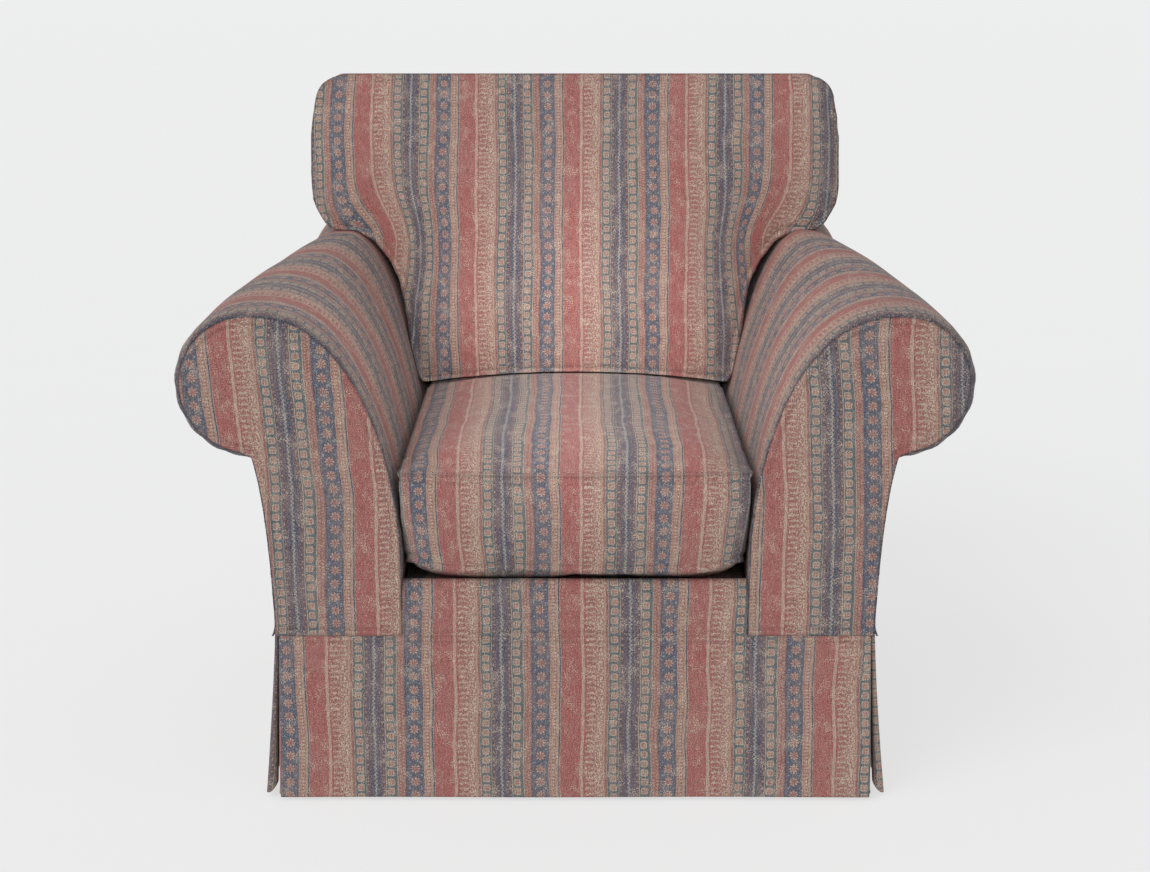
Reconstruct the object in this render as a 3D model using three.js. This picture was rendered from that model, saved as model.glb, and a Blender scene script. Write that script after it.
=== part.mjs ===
// A roll-arm armchair in a fitted loose cover with a floor-length skirt.
// Millimetres. +Z is up, +X is to the right as seen by someone facing the chair, and the chair
// faces -Y. The origin is on the floor under the middle of the chair.

import * as THREE from 'three';

// Driving dimensions of the whole chair.
const OVERALL_WIDTH = 1000; // across the arm rolls at the front
const OVERALL_DEPTH = 888; // front hem to the top edge of the outside back
const OVERALL_HEIGHT = 905; // floor to the top of the back cushion
const BODY_WIDTH = 780; // across the straight sides below the rolls
const SEAT_WIDTH = 449; // between the arms at the seat
const ARM_HEIGHT = 648; // top of the arm at its front panel
const BACK_HEIGHT = 850; // top of the upholstered back, behind its cushion
const SEAM_HEIGHT = 227; // seam between the body of the cover and the skirt
const SEAT_BOTTOM = 296; // underside of the seat cushion
const SEAT_TOP = 446; // upper seam of the seat cushion
const RAIL_TOP = 236;
const RAIL_BOTTOM = 140;
const HEM_GAP = 6; // floor to the hem
const FLARE = 11; // how far the front and back skirts lean out at the hem
const SIDE_FLARE = 22; // the side skirts lean out further
const INSIDE_SLOPE = Math.tan(THREE.MathUtils.degToRad(13)); // rake of the inside back
const OUTSIDE_SLOPE = Math.tan(THREE.MathUtils.degToRad(7)); // rake of the outside back

// Thicknesses and clearances.
const CLOTH = 2;
const GAP = 0.5;
const COVER_EASE = 2; // the loose cover stands clear of the arm padding
const SKIRT_CLOTH = 3;
const BOARD = 19;
const RAIL = 28;
const PADDING = 28;

// Planes and half-widths that several pieces share.
const BODY_HALF = BODY_WIDTH / 2;
const SEAT_HALF = SEAT_WIDTH / 2;
const FRONT = -OVERALL_DEPTH / 2 + FLARE + 1; // face of the arm front panels
const BACK_HALF = BODY_HALF - 5; // half-width of the back above the arms
const BOARD_FRONT = FRONT + CLOTH + GAP;
const BOARD_REAR = BOARD_FRONT + BOARD;
const RAIL_CENTRE = BODY_HALF - 28; // the side rails, from the middle of the chair

// The raked surfaces of the back. Each one is a plane: where it lies at seat height, and its slope.
const plane = (y, slope) => (z) => y + (z - SEAT_TOP) * slope;
const upright = (y) => () => y;
const outsideAtSeat = OVERALL_DEPTH / 2 - (BACK_HEIGHT - SEAT_TOP) * OUTSIDE_SLOPE;
const CUSHION_FRONT = 97;
const INSIDE_BACK = 250;
const BACK_FOAM = 40;
const STRAP = 2;
const POST_FRONT = INSIDE_BACK + CLOTH + BACK_FOAM + STRAP + 3 * GAP;
const POST_DEPTH = 40;
const insideBack = plane(INSIDE_BACK, INSIDE_SLOPE);
const outsideBack = plane(outsideAtSeat - CLOTH, OUTSIDE_SLOPE);
const inside = (offset) => plane(INSIDE_BACK + offset, INSIDE_SLOPE);

// Finishes.
const finish = (color, roughness, metalness = 0) =>
  new THREE.MeshStandardMaterial({ color, roughness, metalness });
const printedCotton = finish(0x8a7370, 0.92);
const beech = finish(0xc39a66, 0.62);
const plywood = finish(0xb98f5c, 0.7);
const walnutStain = finish(0x4a2f20, 0.45);
const springSteel = finish(0x55585c, 0.4, 0.9);
const foam = finish(0xe6dfbe, 0.95);
const webbing = finish(0x9c8f78, 0.9);
const blackCloth = finish(0x1c1c1e, 0.95);
const nylon = finish(0xd8d5cc, 0.4);

const chair = new THREE.Group();
chair.name = 'roll_arm_armchair';

function add(name, geometry, material) {
  const mesh = new THREE.Mesh(geometry, material);
  mesh.name = name;
  chair.add(mesh);
  return mesh;
}

const sides = [['left', -1], ['right', 1]];

// A box between two corners.
function box(name, low, high, material) {
  const size = high.map((value, axis) => value - low[axis]);
  const mesh = add(name, new THREE.BoxGeometry(...size), material);
  mesh.position.set(...high.map((value, axis) => (value + low[axis]) / 2));
  return mesh;
}

// Turns the triangles round where a mirrored or lofted surface has them facing inwards.
function facingOut(geometry) {
  const p = geometry.attributes.position;
  const index = geometry.index;
  const corner = [new THREE.Vector3(), new THREE.Vector3(), new THREE.Vector3()];
  let volume = 0;
  for (let i = 0; i < index.count; i += 3) {
    corner.forEach((v, k) => v.fromBufferAttribute(p, index.getX(i + k)));
    volume += corner[0].dot(corner[1].cross(corner[2]));
  }
  if (volume < 0) {
    for (let i = 0; i < index.count; i += 3) {
      const first = index.getX(i);
      index.setX(i, index.getX(i + 1));
      index.setX(i + 1, first);
    }
  }
  geometry.computeVertexNormals();
  return geometry;
}

// A closed solid through a row of loops that all have the same number of points. A loop round a
// wall goes out along one face and back along the other, so its second half is split along the
// mirrored diagonal and the two faces stay parallel. The end caps are triangulated in the plane
// of the two axes given.
function loft(loops, capAxes) {
  const count = loops[0].length;
  const positions = loops.flat().flatMap((v) => [v.x, v.y, v.z]);
  const triangles = [];
  for (let i = 0; i < loops.length - 1; i += 1) {
    for (let j = 0; j < count; j += 1) {
      const next = (j + 1) % count;
      const a = i * count + j;
      const b = i * count + next;
      const c = b + count;
      const d = a + count;
      if (2 * j < count) triangles.push(a, b, c, a, c, d);
      else triangles.push(a, b, d, b, c, d);
    }
  }
  const [u, v] = capAxes;
  for (const i of [0, loops.length - 1]) {
    const flat = loops[i].map((q) => new THREE.Vector2(q[u], q[v]));
    const turn = (i === 0) !== THREE.ShapeUtils.isClockWise(flat);
    for (const [a, b, c] of THREE.ShapeUtils.triangulateShape(flat, [])) {
      const turned = turn ? [a, c, b] : [a, b, c];
      triangles.push(...turned.map((k) => k + i * count));
    }
  }
  const geometry = new THREE.BufferGeometry();
  geometry.setAttribute('position', new THREE.Float32BufferAttribute(positions, 3));
  geometry.setIndex(triangles);
  return facingOut(geometry);
}

// Extrudes an upright outline (its y is the chair's height) from the front plane to the rear one.
function plate(shape, front, rear, curveSegments = 6) {
  const geometry = new THREE.ExtrudeGeometry(shape, { depth: 1, bevelEnabled: false, curveSegments });
  geometry.rotateX(Math.PI / 2);
  const p = geometry.attributes.position;
  for (let i = 0; i < p.count; i += 1) {
    const z = p.getZ(i);
    const along = 1 + p.getY(i);
    p.setY(i, THREE.MathUtils.lerp(front(z), rear(z), along));
  }
  geometry.computeVertexNormals();
  return geometry;
}

const mirrored = (points) => points.map((q) => new THREE.Vector2(-q.x, q.y)).reverse();
const shapeOf = (points) => new THREE.Shape(points);
const rectangle = (x0, x1, z0, z1) =>
  shapeOf([[x0, z0], [x1, z0], [x1, z1], [x0, z1]].map(([x, z]) => new THREE.Vector2(x, z)));

// ---------------------------------------------------------------------------------------------
// The arm's section. The inside face leans outwards in one long curve to the top, the roll is
// an arc, and below it the outside panel hangs nearly straight. Towards the back the roll
// grows smaller and moves inwards, and the whole arm rises a little.

const ROLL_RADIUS = 88;
const REAR_ROLL_RADIUS = 76;
const ROLL_CENTRE = OVERALL_WIDTH / 2 - ROLL_RADIUS;
const REAR_ROLL_CENTRE = 344;
const TAPER_LENGTH = 606;
const TAPER_POWER = 1.85;
const FILL = 8; // padding swells the roll just behind its flat front
const FILL_LENGTH = 25;
const RISE = 20;
const RISE_LENGTH = 680;
const UNDER_FRONT = THREE.MathUtils.degToRad(80); // how far round the roll goes underneath
const UNDER_REAR = THREE.MathUtils.degToRad(48);

function armProfile(distance, inset, innerBase, outerBase) {
  const taper = Math.min(distance / TAPER_LENGTH, 1) ** TAPER_POWER;
  const mix = (front, rear) => THREE.MathUtils.lerp(front, rear, taper);
  const swell = 1 - Math.exp(-distance / FILL_LENGTH);
  const top = ARM_HEIGHT + FILL * swell + RISE * Math.min(distance / RISE_LENGTH, 1);
  const radius = mix(ROLL_RADIUS, REAR_ROLL_RADIUS - FILL) + FILL * swell;
  const centre = new THREE.Vector2(mix(ROLL_CENTRE, REAR_ROLL_CENTRE), top - radius);

  const innerFace = new THREE.CubicBezierCurve(
    new THREE.Vector2(SEAT_HALF, 330),
    new THREE.Vector2(SEAT_HALF + mix(0, 1.5), 440),
    new THREE.Vector2(mix(270, 285), top),
    new THREE.Vector2(centre.x - 8, top),
  );
  const under = mix(UNDER_FRONT, UNDER_REAR);
  const tuck = new THREE.Vector2(mix(ROLL_CENTRE, 393), mix(466, 540));
  const outerFace = new THREE.QuadraticBezierCurve(
    tuck,
    new THREE.Vector2(BODY_HALF + mix(4, 0), 400),
    new THREE.Vector2(BODY_HALF, 240),
  );
  const roll = [];
  const steps = 9;
  for (let i = 0; i <= steps; i += 1) {
    const angle = Math.PI / 2 - (i / steps) * (Math.PI / 2 + under);
    roll.push(new THREE.Vector2(Math.cos(angle), Math.sin(angle)).multiplyScalar(radius).add(centre));
  }
  const line = [
    new THREE.Vector2(SEAT_HALF, innerBase),
    ...innerFace.getPoints(6),
    ...roll,
    ...outerFace.getPoints(3),
    new THREE.Vector2(BODY_HALF, outerBase),
  ];
  return line.map((q, i) => {
    const before = line[Math.max(i - 1, 0)];
    const after = line[Math.min(i + 1, line.length - 1)];
    const along = after.clone().sub(before).normalize();
    return new THREE.Vector2(q.x + along.y * inset, q.y - along.x * inset);
  });
}

// Stations along the arm, from its front plane at 0 to the inside back at 1. The cover starts
// at the first one and the padding behind the front board, at the third.
const ARM_REACH = 720;
const stations = [0.004, 0.014, 0.036, 0.07, 0.12, 0.22, 0.34, 0.46, 0.58, 0.7, 0.85, 1];
const COVER_START = 0;
const PADDING_START = 2;

// A wall of the arm between two insets of its section, carried on past the inside back by an
// extension.
function armSolid(side, start, extension, outerInset, innerInset, innerBase, outerBase) {
  const loops = stations.slice(start).map((t) => {
    const outer = armProfile(t * ARM_REACH, outerInset, innerBase, outerBase);
    const inner = armProfile(t * ARM_REACH, innerInset, innerBase, outerBase).reverse();
    return [...outer, ...inner].map((q) => {
      const y = THREE.MathUtils.lerp(FRONT, insideBack(q.y), t);
      return new THREE.Vector3(side * q.x, y, q.y);
    });
  });
  if (extension > 0) {
    const last = loops[loops.length - 1];
    loops.push(last.map((q) => q.clone().setY(q.y + extension)));
  }
  return loft(loops, ['x', 'z']);
}

// ---------------------------------------------------------------------------------------------
// Hardwood frame.

const SIDE_RAIL_IN = RAIL_CENTRE - RAIL / 2;
const SIDE_RAIL_OUT = RAIL_CENTRE + RAIL / 2;
const RAIL_FRONT = BOARD_FRONT + 4;
const FRONT_RAIL_REAR = RAIL_FRONT + 32;
const SPRING_RAIL_FRONT = 215;
const SPRING_RAIL_REAR = SPRING_RAIL_FRONT + RAIL;
const BACK_RAIL_REAR = outsideBack(RAIL_BOTTOM) - 4;
const BACK_RAIL_FRONT = BACK_RAIL_REAR - RAIL;
const BOARD_IN = SEAT_HALF + 3;

box('front_rail', [-SIDE_RAIL_IN + GAP, RAIL_FRONT, RAIL_BOTTOM],
  [SIDE_RAIL_IN - GAP, FRONT_RAIL_REAR, RAIL_TOP], beech);
box('spring_rail', [-SIDE_RAIL_IN + GAP, SPRING_RAIL_FRONT, RAIL_BOTTOM],
  [SIDE_RAIL_IN - GAP, SPRING_RAIL_REAR, RAIL_TOP], beech);
box('back_seat_rail', [-SIDE_RAIL_IN + GAP, BACK_RAIL_FRONT, RAIL_BOTTOM],
  [SIDE_RAIL_IN - GAP, BACK_RAIL_REAR, RAIL_TOP], beech);

const BLOCK = 62;
const BLOCK_BOTTOM = RAIL_BOTTOM + 12;
const BLOCK_HEIGHT = 60;
const LOWER_RAIL_TOP = RAIL_TOP + 26;
const ARM_RAIL = { in: 334, out: 356, bottom: 548, top: 582 };

for (const [side, s] of sides) {
  const mirror = (a, b) => (s < 0 ? [-b, -a] : [a, b]);

  const [railLow, railHigh] = mirror(SIDE_RAIL_IN, SIDE_RAIL_OUT);
  box(`${side}_side_rail`, [railLow, RAIL_FRONT, RAIL_BOTTOM],
    [railHigh, BACK_RAIL_REAR, RAIL_TOP], beech);

  const [lowerLow, lowerHigh] = mirror(BOARD_IN, BOARD_IN + 26);
  box(`${side}_arm_lower_rail`, [lowerLow, BOARD_REAR + GAP, RAIL_TOP + GAP],
    [lowerHigh, SPRING_RAIL_REAR, LOWER_RAIL_TOP], beech);

  // The plywood board that gives the arm its scroll shape stands on the seat frame.
  const outline = armProfile(0, 3, RAIL_TOP + GAP, RAIL_TOP + GAP);
  const board = shapeOf(s < 0 ? mirrored(outline) : outline);
  add(`${side}_arm_front_board`, plate(board, upright(BOARD_FRONT), upright(BOARD_REAR)), plywood);

  // The rail under the top of the arm, from the board to the back post.
  const [topLow, topHigh] = mirror(ARM_RAIL.in, ARM_RAIL.out);
  const topRail = rectangle(topLow, topHigh, ARM_RAIL.bottom, ARM_RAIL.top);
  add(`${side}_arm_top_rail`,
    plate(topRail, upright(BOARD_REAR + GAP), inside(POST_FRONT - INSIDE_BACK - GAP)), beech);

  // The raked back post, standing on the side rail.
  const [postLow, postHigh] = mirror(325, 365);
  const post = rectangle(postLow, postHigh, RAIL_TOP + GAP, BACK_HEIGHT - 14);
  add(`${side}_back_post`,
    plate(post, plane(POST_FRONT, INSIDE_SLOPE), plane(POST_FRONT + POST_DEPTH, INSIDE_SLOPE)), beech);

  // Glued blocks brace the seat frame's corners.
  const corners = [['front', FRONT_RAIL_REAR + GAP, 1], ['rear', SPRING_RAIL_FRONT - GAP, -1]];
  for (const [end, y, into] of corners) {
    const x = s * (SIDE_RAIL_IN - GAP);
    const wedge = shapeOf([
      new THREE.Vector2(x, y),
      new THREE.Vector2(x - s * BLOCK, y),
      new THREE.Vector2(x, y + into * BLOCK),
    ]);
    const block = new THREE.ExtrudeGeometry(wedge, { depth: BLOCK_HEIGHT, bevelEnabled: false });
    block.translate(0, 0, BLOCK_BOTTOM);
    add(`${side}_${end}_corner_block`, block, beech);
  }
}

// Rails between the back posts.
const BETWEEN_POSTS = 325 - GAP;
for (const [name, bottom, top] of [['back_top_rail', BACK_HEIGHT - 74, BACK_HEIGHT - 14],
  ['back_lower_rail', SEAT_BOTTOM + 8, SEAT_BOTTOM + 58]]) {
  const shape = rectangle(-BETWEEN_POSTS, BETWEEN_POSTS, bottom, top);
  add(name, plate(shape, plane(POST_FRONT, INSIDE_SLOPE),
    plane(POST_FRONT + POST_DEPTH, INSIDE_SLOPE)), beech);
}

// ---------------------------------------------------------------------------------------------
// Springs, straps and padding.

const WIRE = 2;
const SPRING_COUNT = 4;
const SPRING_PITCH = 108;
const SPRING_FRONT = FRONT_RAIL_REAR - 12;
const SPRING_REAR = SPRING_RAIL_REAR - 12;

// A no-sag spring: a wire that snakes from the front rail to the spring rail and bows upwards.
class SnakingWire extends THREE.Curve {
  constructor(x) {
    super();
    this.x = x;
  }

  getPoint(t, target = new THREE.Vector3()) {
    const waves = 8;
    const swing = 24;
    const bow = 11;
    return target.set(
      this.x + swing * Math.sin(2 * Math.PI * waves * t),
      THREE.MathUtils.lerp(SPRING_FRONT, SPRING_REAR, t),
      RAIL_TOP + WIRE + GAP + bow * Math.sin(Math.PI * t),
    );
  }
}

const wireSection = new THREE.Shape();
wireSection.absarc(0, 0, WIRE, 0, 2 * Math.PI);
for (let i = 0; i < SPRING_COUNT; i += 1) {
  const x = (i - (SPRING_COUNT - 1) / 2) * SPRING_PITCH;
  const wire = new THREE.ExtrudeGeometry(wireSection, {
    steps: 64,
    curveSegments: 3,
    extrudePath: new SnakingWire(x),
  });
  add(`seat_spring_${i + 1}`, wire, springSteel);
}

// Webbing straps from the lower to the top rail of the back.
const STRAP_WIDTH = 52;
for (let i = -1; i <= 1; i += 1) {
  const x = i * 170;
  const strap = rectangle(x - STRAP_WIDTH / 2, x + STRAP_WIDTH / 2, SEAT_BOTTOM + 12, BACK_HEIGHT - 18);
  const front = CLOTH + BACK_FOAM + 2 * GAP;
  add(`back_strap_${i + 2}`, plate(strap, inside(front), inside(front + STRAP)), webbing);
}

// The outline of the inside back: narrow between the arms, wide above them.
const SHOULDER = 680;
const CORNER = 40;
function insideBackShape(inset) {
  const shape = new THREE.Shape();
  const neck = SEAT_HALF - 2 - inset;
  const half = BACK_HALF - CLOTH - GAP - inset;
  const top = BACK_HEIGHT - CLOTH - GAP - inset;
  const ledge = SHOULDER + inset;
  for (const s of [1, -1]) {
    const rising = [
      new THREE.Vector2(s * neck, SEAT_BOTTOM + inset),
      new THREE.Vector2(s * neck, 330),
      ...new THREE.CubicBezierCurve(
        new THREE.Vector2(s * neck, 330),
        new THREE.Vector2(s * neck, 440),
        new THREE.Vector2(s * (281 - inset), ledge),
        new THREE.Vector2(s * (334 - inset), ledge),
      ).getPoints(6).slice(1),
      new THREE.Vector2(s * half, ledge),
      ...new THREE.EllipseCurve(s * (half - CORNER), top - CORNER, CORNER, CORNER,
        s > 0 ? 0 : Math.PI, Math.PI / 2, s < 0).getPoints(4),
    ];
    const path = s > 0 ? rising : rising.reverse();
    path.forEach((q, i) => (s > 0 && i === 0 ? shape.moveTo(q.x, q.y) : shape.lineTo(q.x, q.y)));
  }
  return shape;
}

add('back_padding', plate(insideBackShape(1), inside(CLOTH + GAP), inside(CLOTH + BACK_FOAM + GAP)), foam);

for (const [side, s] of sides) {
  const under = CLOTH + COVER_EASE;
  add(`${side}_arm_padding`,
    armSolid(s, PADDING_START, CLOTH + BACK_FOAM, under, under + PADDING,
      LOWER_RAIL_TOP + GAP, RAIL_TOP + 2), foam);
}

const DECK_TOP = SEAT_BOTTOM - 5;
const PAD_TOP = DECK_TOP - CLOTH;
const EDGE_REAR = SPRING_FRONT - 4;
const edgeRoll = new THREE.Shape();
edgeRoll.moveTo(EDGE_REAR, RAIL_TOP + GAP);
edgeRoll.lineTo(EDGE_REAR, PAD_TOP);
edgeRoll.lineTo(BOARD_FRONT + 14, PAD_TOP);
edgeRoll.quadraticCurveTo(BOARD_FRONT + 4, PAD_TOP, BOARD_FRONT + 4, PAD_TOP - 10);
edgeRoll.lineTo(BOARD_FRONT + 4, RAIL_TOP + GAP);
const rollHalf = SEAT_HALF - 3;
const rollGeometry = new THREE.ExtrudeGeometry(edgeRoll,
  { depth: 2 * rollHalf, bevelEnabled: false, curveSegments: 4 });
// The outline's x is depth and its y is height, so its own three axes become Y, Z and X.
rollGeometry.applyMatrix4(new THREE.Matrix4().makeBasis(
  new THREE.Vector3(0, 1, 0), new THREE.Vector3(0, 0, 1), new THREE.Vector3(1, 0, 0)));
rollGeometry.translate(-rollHalf, 0, 0);
add('front_edge_roll', rollGeometry, foam);

box('deck_pad', [-rollHalf, EDGE_REAR + GAP, RAIL_TOP + 19], [rollHalf, 205, PAD_TOP], foam);

// ---------------------------------------------------------------------------------------------
// The two loose cushions.

// An upright or flat outline, thickened, with its edges rounded over.
function cushion(shape, thickness, round) {
  return new THREE.ExtrudeGeometry(shape, {
    depth: thickness - 2 * round,
    bevelThickness: round,
    bevelSize: round,
    bevelOffset: -round,
    bevelSegments: 3,
    curveSegments: 5,
  });
}

const seatHalf = SEAT_HALF - 4;
const SEAT_FRONT = FRONT - 4;
const SEAT_REAR = 212;
const seatCorner = 24;
const seatPlan = new THREE.Shape();
seatPlan.moveTo(-seatHalf + seatCorner, SEAT_FRONT);
seatPlan.lineTo(seatHalf - seatCorner, SEAT_FRONT);
seatPlan.quadraticCurveTo(seatHalf, SEAT_FRONT, seatHalf, SEAT_FRONT + seatCorner);
seatPlan.lineTo(seatHalf, SEAT_REAR - seatCorner);
seatPlan.quadraticCurveTo(seatHalf, SEAT_REAR, seatHalf - seatCorner, SEAT_REAR);
seatPlan.lineTo(-seatHalf + seatCorner, SEAT_REAR);
seatPlan.quadraticCurveTo(-seatHalf, SEAT_REAR, -seatHalf, SEAT_REAR - seatCorner);
seatPlan.lineTo(-seatHalf, SEAT_FRONT + seatCorner);
seatPlan.quadraticCurveTo(-seatHalf, SEAT_FRONT, -seatHalf + seatCorner, SEAT_FRONT);
const seatRound = 12;
const seat = cushion(seatPlan, SEAT_TOP - SEAT_BOTTOM, seatRound);
seat.translate(0, 0, SEAT_BOTTOM + seatRound);
add('seat_cushion', seat, printedCotton);

// The T-shaped back cushion stands on the seat cushion, and its ears lie over the arms.
const EAR_HALF = 398;
const EAR_BOTTOM = SHOULDER + 4;
const CUSHION_FOOT = SEAT_TOP + 4;
const CUSHION_DEPTH = INSIDE_BACK - CUSHION_FRONT - 3;
const tee = new THREE.Shape();
const EAR_CORNER = 44;
tee.moveTo(-204, CUSHION_FOOT);
tee.lineTo(204, CUSHION_FOOT);
tee.quadraticCurveTo(232, CUSHION_FOOT, 234, CUSHION_FOOT + 30);
tee.bezierCurveTo(240, 560, 266, 664, 322, EAR_BOTTOM);
tee.lineTo(EAR_HALF - EAR_CORNER, EAR_BOTTOM);
tee.quadraticCurveTo(EAR_HALF, EAR_BOTTOM, EAR_HALF, EAR_BOTTOM + EAR_CORNER);
tee.lineTo(EAR_HALF, OVERALL_HEIGHT - EAR_CORNER);
tee.quadraticCurveTo(EAR_HALF, OVERALL_HEIGHT, EAR_HALF - EAR_CORNER, OVERALL_HEIGHT);
tee.lineTo(EAR_CORNER - EAR_HALF, OVERALL_HEIGHT);
tee.quadraticCurveTo(-EAR_HALF, OVERALL_HEIGHT, -EAR_HALF, OVERALL_HEIGHT - EAR_CORNER);
tee.lineTo(-EAR_HALF, EAR_BOTTOM + EAR_CORNER);
tee.quadraticCurveTo(-EAR_HALF, EAR_BOTTOM, EAR_CORNER - EAR_HALF, EAR_BOTTOM);
tee.lineTo(-322, EAR_BOTTOM);
tee.bezierCurveTo(-266, 664, -240, 560, -234, CUSHION_FOOT + 30);
tee.quadraticCurveTo(-232, CUSHION_FOOT, -204, CUSHION_FOOT);
const backRound = 10;
const back = cushion(tee, CUSHION_DEPTH, backRound);
back.rotateX(Math.PI / 2);
back.translate(0, CUSHION_FRONT + CUSHION_DEPTH - backRound, 0);
// Leaned back about seat height without tilting its foot or its ears off the level.
back.applyMatrix4(new THREE.Matrix4().makeShear(0, 0, 0, 0, 0, INSIDE_SLOPE));
back.translate(0, -SEAT_TOP * INSIDE_SLOPE, 0);
add('back_cushion', back, printedCotton);

// ---------------------------------------------------------------------------------------------
// The loose cover: panels sewn together along the seams.

for (const [side, s] of sides) {
  const outline = armProfile(0, 0, SEAM_HEIGHT, SEAM_HEIGHT);
  const panel = shapeOf(s < 0 ? mirrored(outline) : outline);
  add(`${side}_arm_front_panel`, plate(panel, upright(FRONT), upright(FRONT + CLOTH)), printedCotton);

  add(`${side}_arm_cover`,
    armSolid(s, COVER_START, 0, 0, CLOTH, LOWER_RAIL_TOP + GAP, SEAM_HEIGHT), printedCotton);
}

box('front_border', [-SEAT_HALF + 1, BOARD_FRONT + 1, SEAM_HEIGHT],
  [SEAT_HALF - 1, BOARD_FRONT + 1 + CLOTH, DECK_TOP - CLOTH], printedCotton);
box('deck_cloth', [-SEAT_HALF + 2, BOARD_FRONT + 1, DECK_TOP - CLOTH + GAP],
  [SEAT_HALF - 2, 205, DECK_TOP], printedCotton);
add('inside_back_cover', plate(insideBackShape(0), insideBack, inside(CLOTH)), printedCotton);

// The outside back and the strip that joins it to the inside share one outline: straight sides,
// the ends of the arm rolls, then the straight upper sides and rounded top corners.
function outsideBackHalf(inset) {
  const centre = new THREE.Vector2(REAR_ROLL_CENTRE, ARM_HEIGHT + FILL + RISE - REAR_ROLL_RADIUS);
  const reach = BACK_HALF - REAR_ROLL_CENTRE;
  const radius = REAR_ROLL_RADIUS - inset;
  const leave = Math.acos((reach - inset) / radius);
  const points = [new THREE.Vector2(BODY_HALF - inset, SEAM_HEIGHT)];
  const arc = (cx, cy, r, from, to, steps) => {
    for (let i = 0; i <= steps; i += 1) {
      const angle = THREE.MathUtils.lerp(from, to, i / steps);
      points.push(new THREE.Vector2(cx + r * Math.cos(angle), cy + r * Math.sin(angle)));
    }
  };
  arc(centre.x, centre.y, radius, -UNDER_REAR, leave, 7);
  const corner = CORNER - inset;
  arc(BACK_HALF - CORNER, BACK_HEIGHT - CORNER, corner, 0, Math.PI / 2, 4);
  return points;
}

const halfBack = outsideBackHalf(0);
add('outside_back',
  plate(shapeOf([...halfBack, ...mirrored(halfBack)]), plane(outsideAtSeat - CLOTH, OUTSIDE_SLOPE),
    plane(outsideAtSeat, OUTSIDE_SLOPE)), printedCotton);

const rim = [...halfBack, ...mirrored(halfBack)];
const lining = outsideBackHalf(CLOTH);
const innerRim = [...lining, ...mirrored(lining)].reverse();
add('back_gusset',
  plate(shapeOf([...rim, ...innerRim]), inside(GAP), plane(outsideAtSeat - CLOTH - GAP, OUTSIDE_SLOPE)),
  printedCotton);

// ---------------------------------------------------------------------------------------------
// The skirt: four flat panels that lean out to the hem, and an underlay behind each corner
// that closes the pleat where two panels meet.

const SKIRT_TOP = SEAM_HEIGHT - GAP;
const SKIRT_DROP = SKIRT_TOP - HEM_GAP;
const REAR_SEAM = outsideBack(SEAM_HEIGHT) + CLOTH;

// A panel hanging from its top rectangle, each corner (x, y) moved out by its own flare.
function hanging(topLoop, bottomLoop) {
  const level = (loop, z) => loop.map(([x, y]) => new THREE.Vector3(x, y, z));
  return loft([level(topLoop, SKIRT_TOP), level(bottomLoop, SKIRT_TOP - SKIRT_DROP)], ['x', 'y']);
}

const skirtHalf = BODY_HALF - 2;
for (const [side, y, out] of [['front', FRONT, -1], ['back', REAR_SEAM, 1]]) {
  const strip = (offset) => [
    [-skirtHalf, y + offset],
    [skirtHalf, y + offset],
    [skirtHalf, y + offset - out * SKIRT_CLOTH],
    [-skirtHalf, y + offset - out * SKIRT_CLOTH],
  ];
  add(`skirt_${side}`, hanging(strip(out), strip(out * (FLARE + 1))), printedCotton);
}

const SIDE_FRONT = FRONT + 4;
const SIDE_REAR = REAR_SEAM - 4;
for (const [side, s] of sides) {
  const strip = (x) => [
    [s * x, SIDE_FRONT],
    [s * x, SIDE_REAR],
    [s * (x - SKIRT_CLOTH), SIDE_REAR],
    [s * (x - SKIRT_CLOTH), SIDE_FRONT],
  ];
  add(`skirt_${side}`, hanging(strip(BODY_HALF + 2), strip(BODY_HALF + SIDE_FLARE)), printedCotton);

  // The underlay is an L in plan, tucked behind both panels.
  for (const [end, y, out] of [['front', FRONT, -1], ['rear', REAR_SEAM, 1]]) {
    const legLength = 90;
    const corner = (x, yy) => [
      [s * x, yy],
      [s * (x - legLength), yy],
      [s * (x - legLength), yy - out * CLOTH],
      [s * (x - CLOTH), yy - out * CLOTH],
      [s * (x - CLOTH), yy - out * legLength],
      [s * x, yy - out * legLength],
    ];
    const inFromSkirt = SKIRT_CLOTH + 1.5;
    const top = corner(BODY_HALF + 2 - inFromSkirt, y - out * (inFromSkirt - 1));
    const bottom = corner(BODY_HALF + 6, y + out * 2);
    add(`${side}_${end}_pleat_underlay`, hanging(top, bottom), printedCotton);
  }
}

// ---------------------------------------------------------------------------------------------
// Legs, glides and the cloth that closes the underside.

const LEG_TOP = 50;
const LEG_FOOT = 36;
const GLIDE = 4;
const legOut = SIDE_RAIL_OUT - 6;
const legRows = [['front', BOARD_FRONT + 6], ['rear', BACK_RAIL_REAR - LEG_TOP]];
for (const [side, s] of sides) {
  for (const [end, y] of legRows) {
    const x = s * (legOut - LEG_TOP / 2);
    const middle = y + LEG_TOP / 2;
    const square = (size, z) => [[-1, -1], [1, -1], [1, 1], [-1, 1]].map(
      ([i, j]) => new THREE.Vector3(x + (i * size) / 2, middle + (j * size) / 2, z));
    add(`${side}_${end}_leg`, loft([square(LEG_FOOT, GLIDE + GAP), square(LEG_TOP, RAIL_BOTTOM - GAP)],
      ['x', 'y']), walnutStain);
    const glide = new THREE.CylinderGeometry(14, 14, GLIDE, 20);
    glide.rotateX(Math.PI / 2);
    add(`${side}_${end}_glide`, glide, nylon).position.set(x, middle, GLIDE / 2);
  }
}

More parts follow.
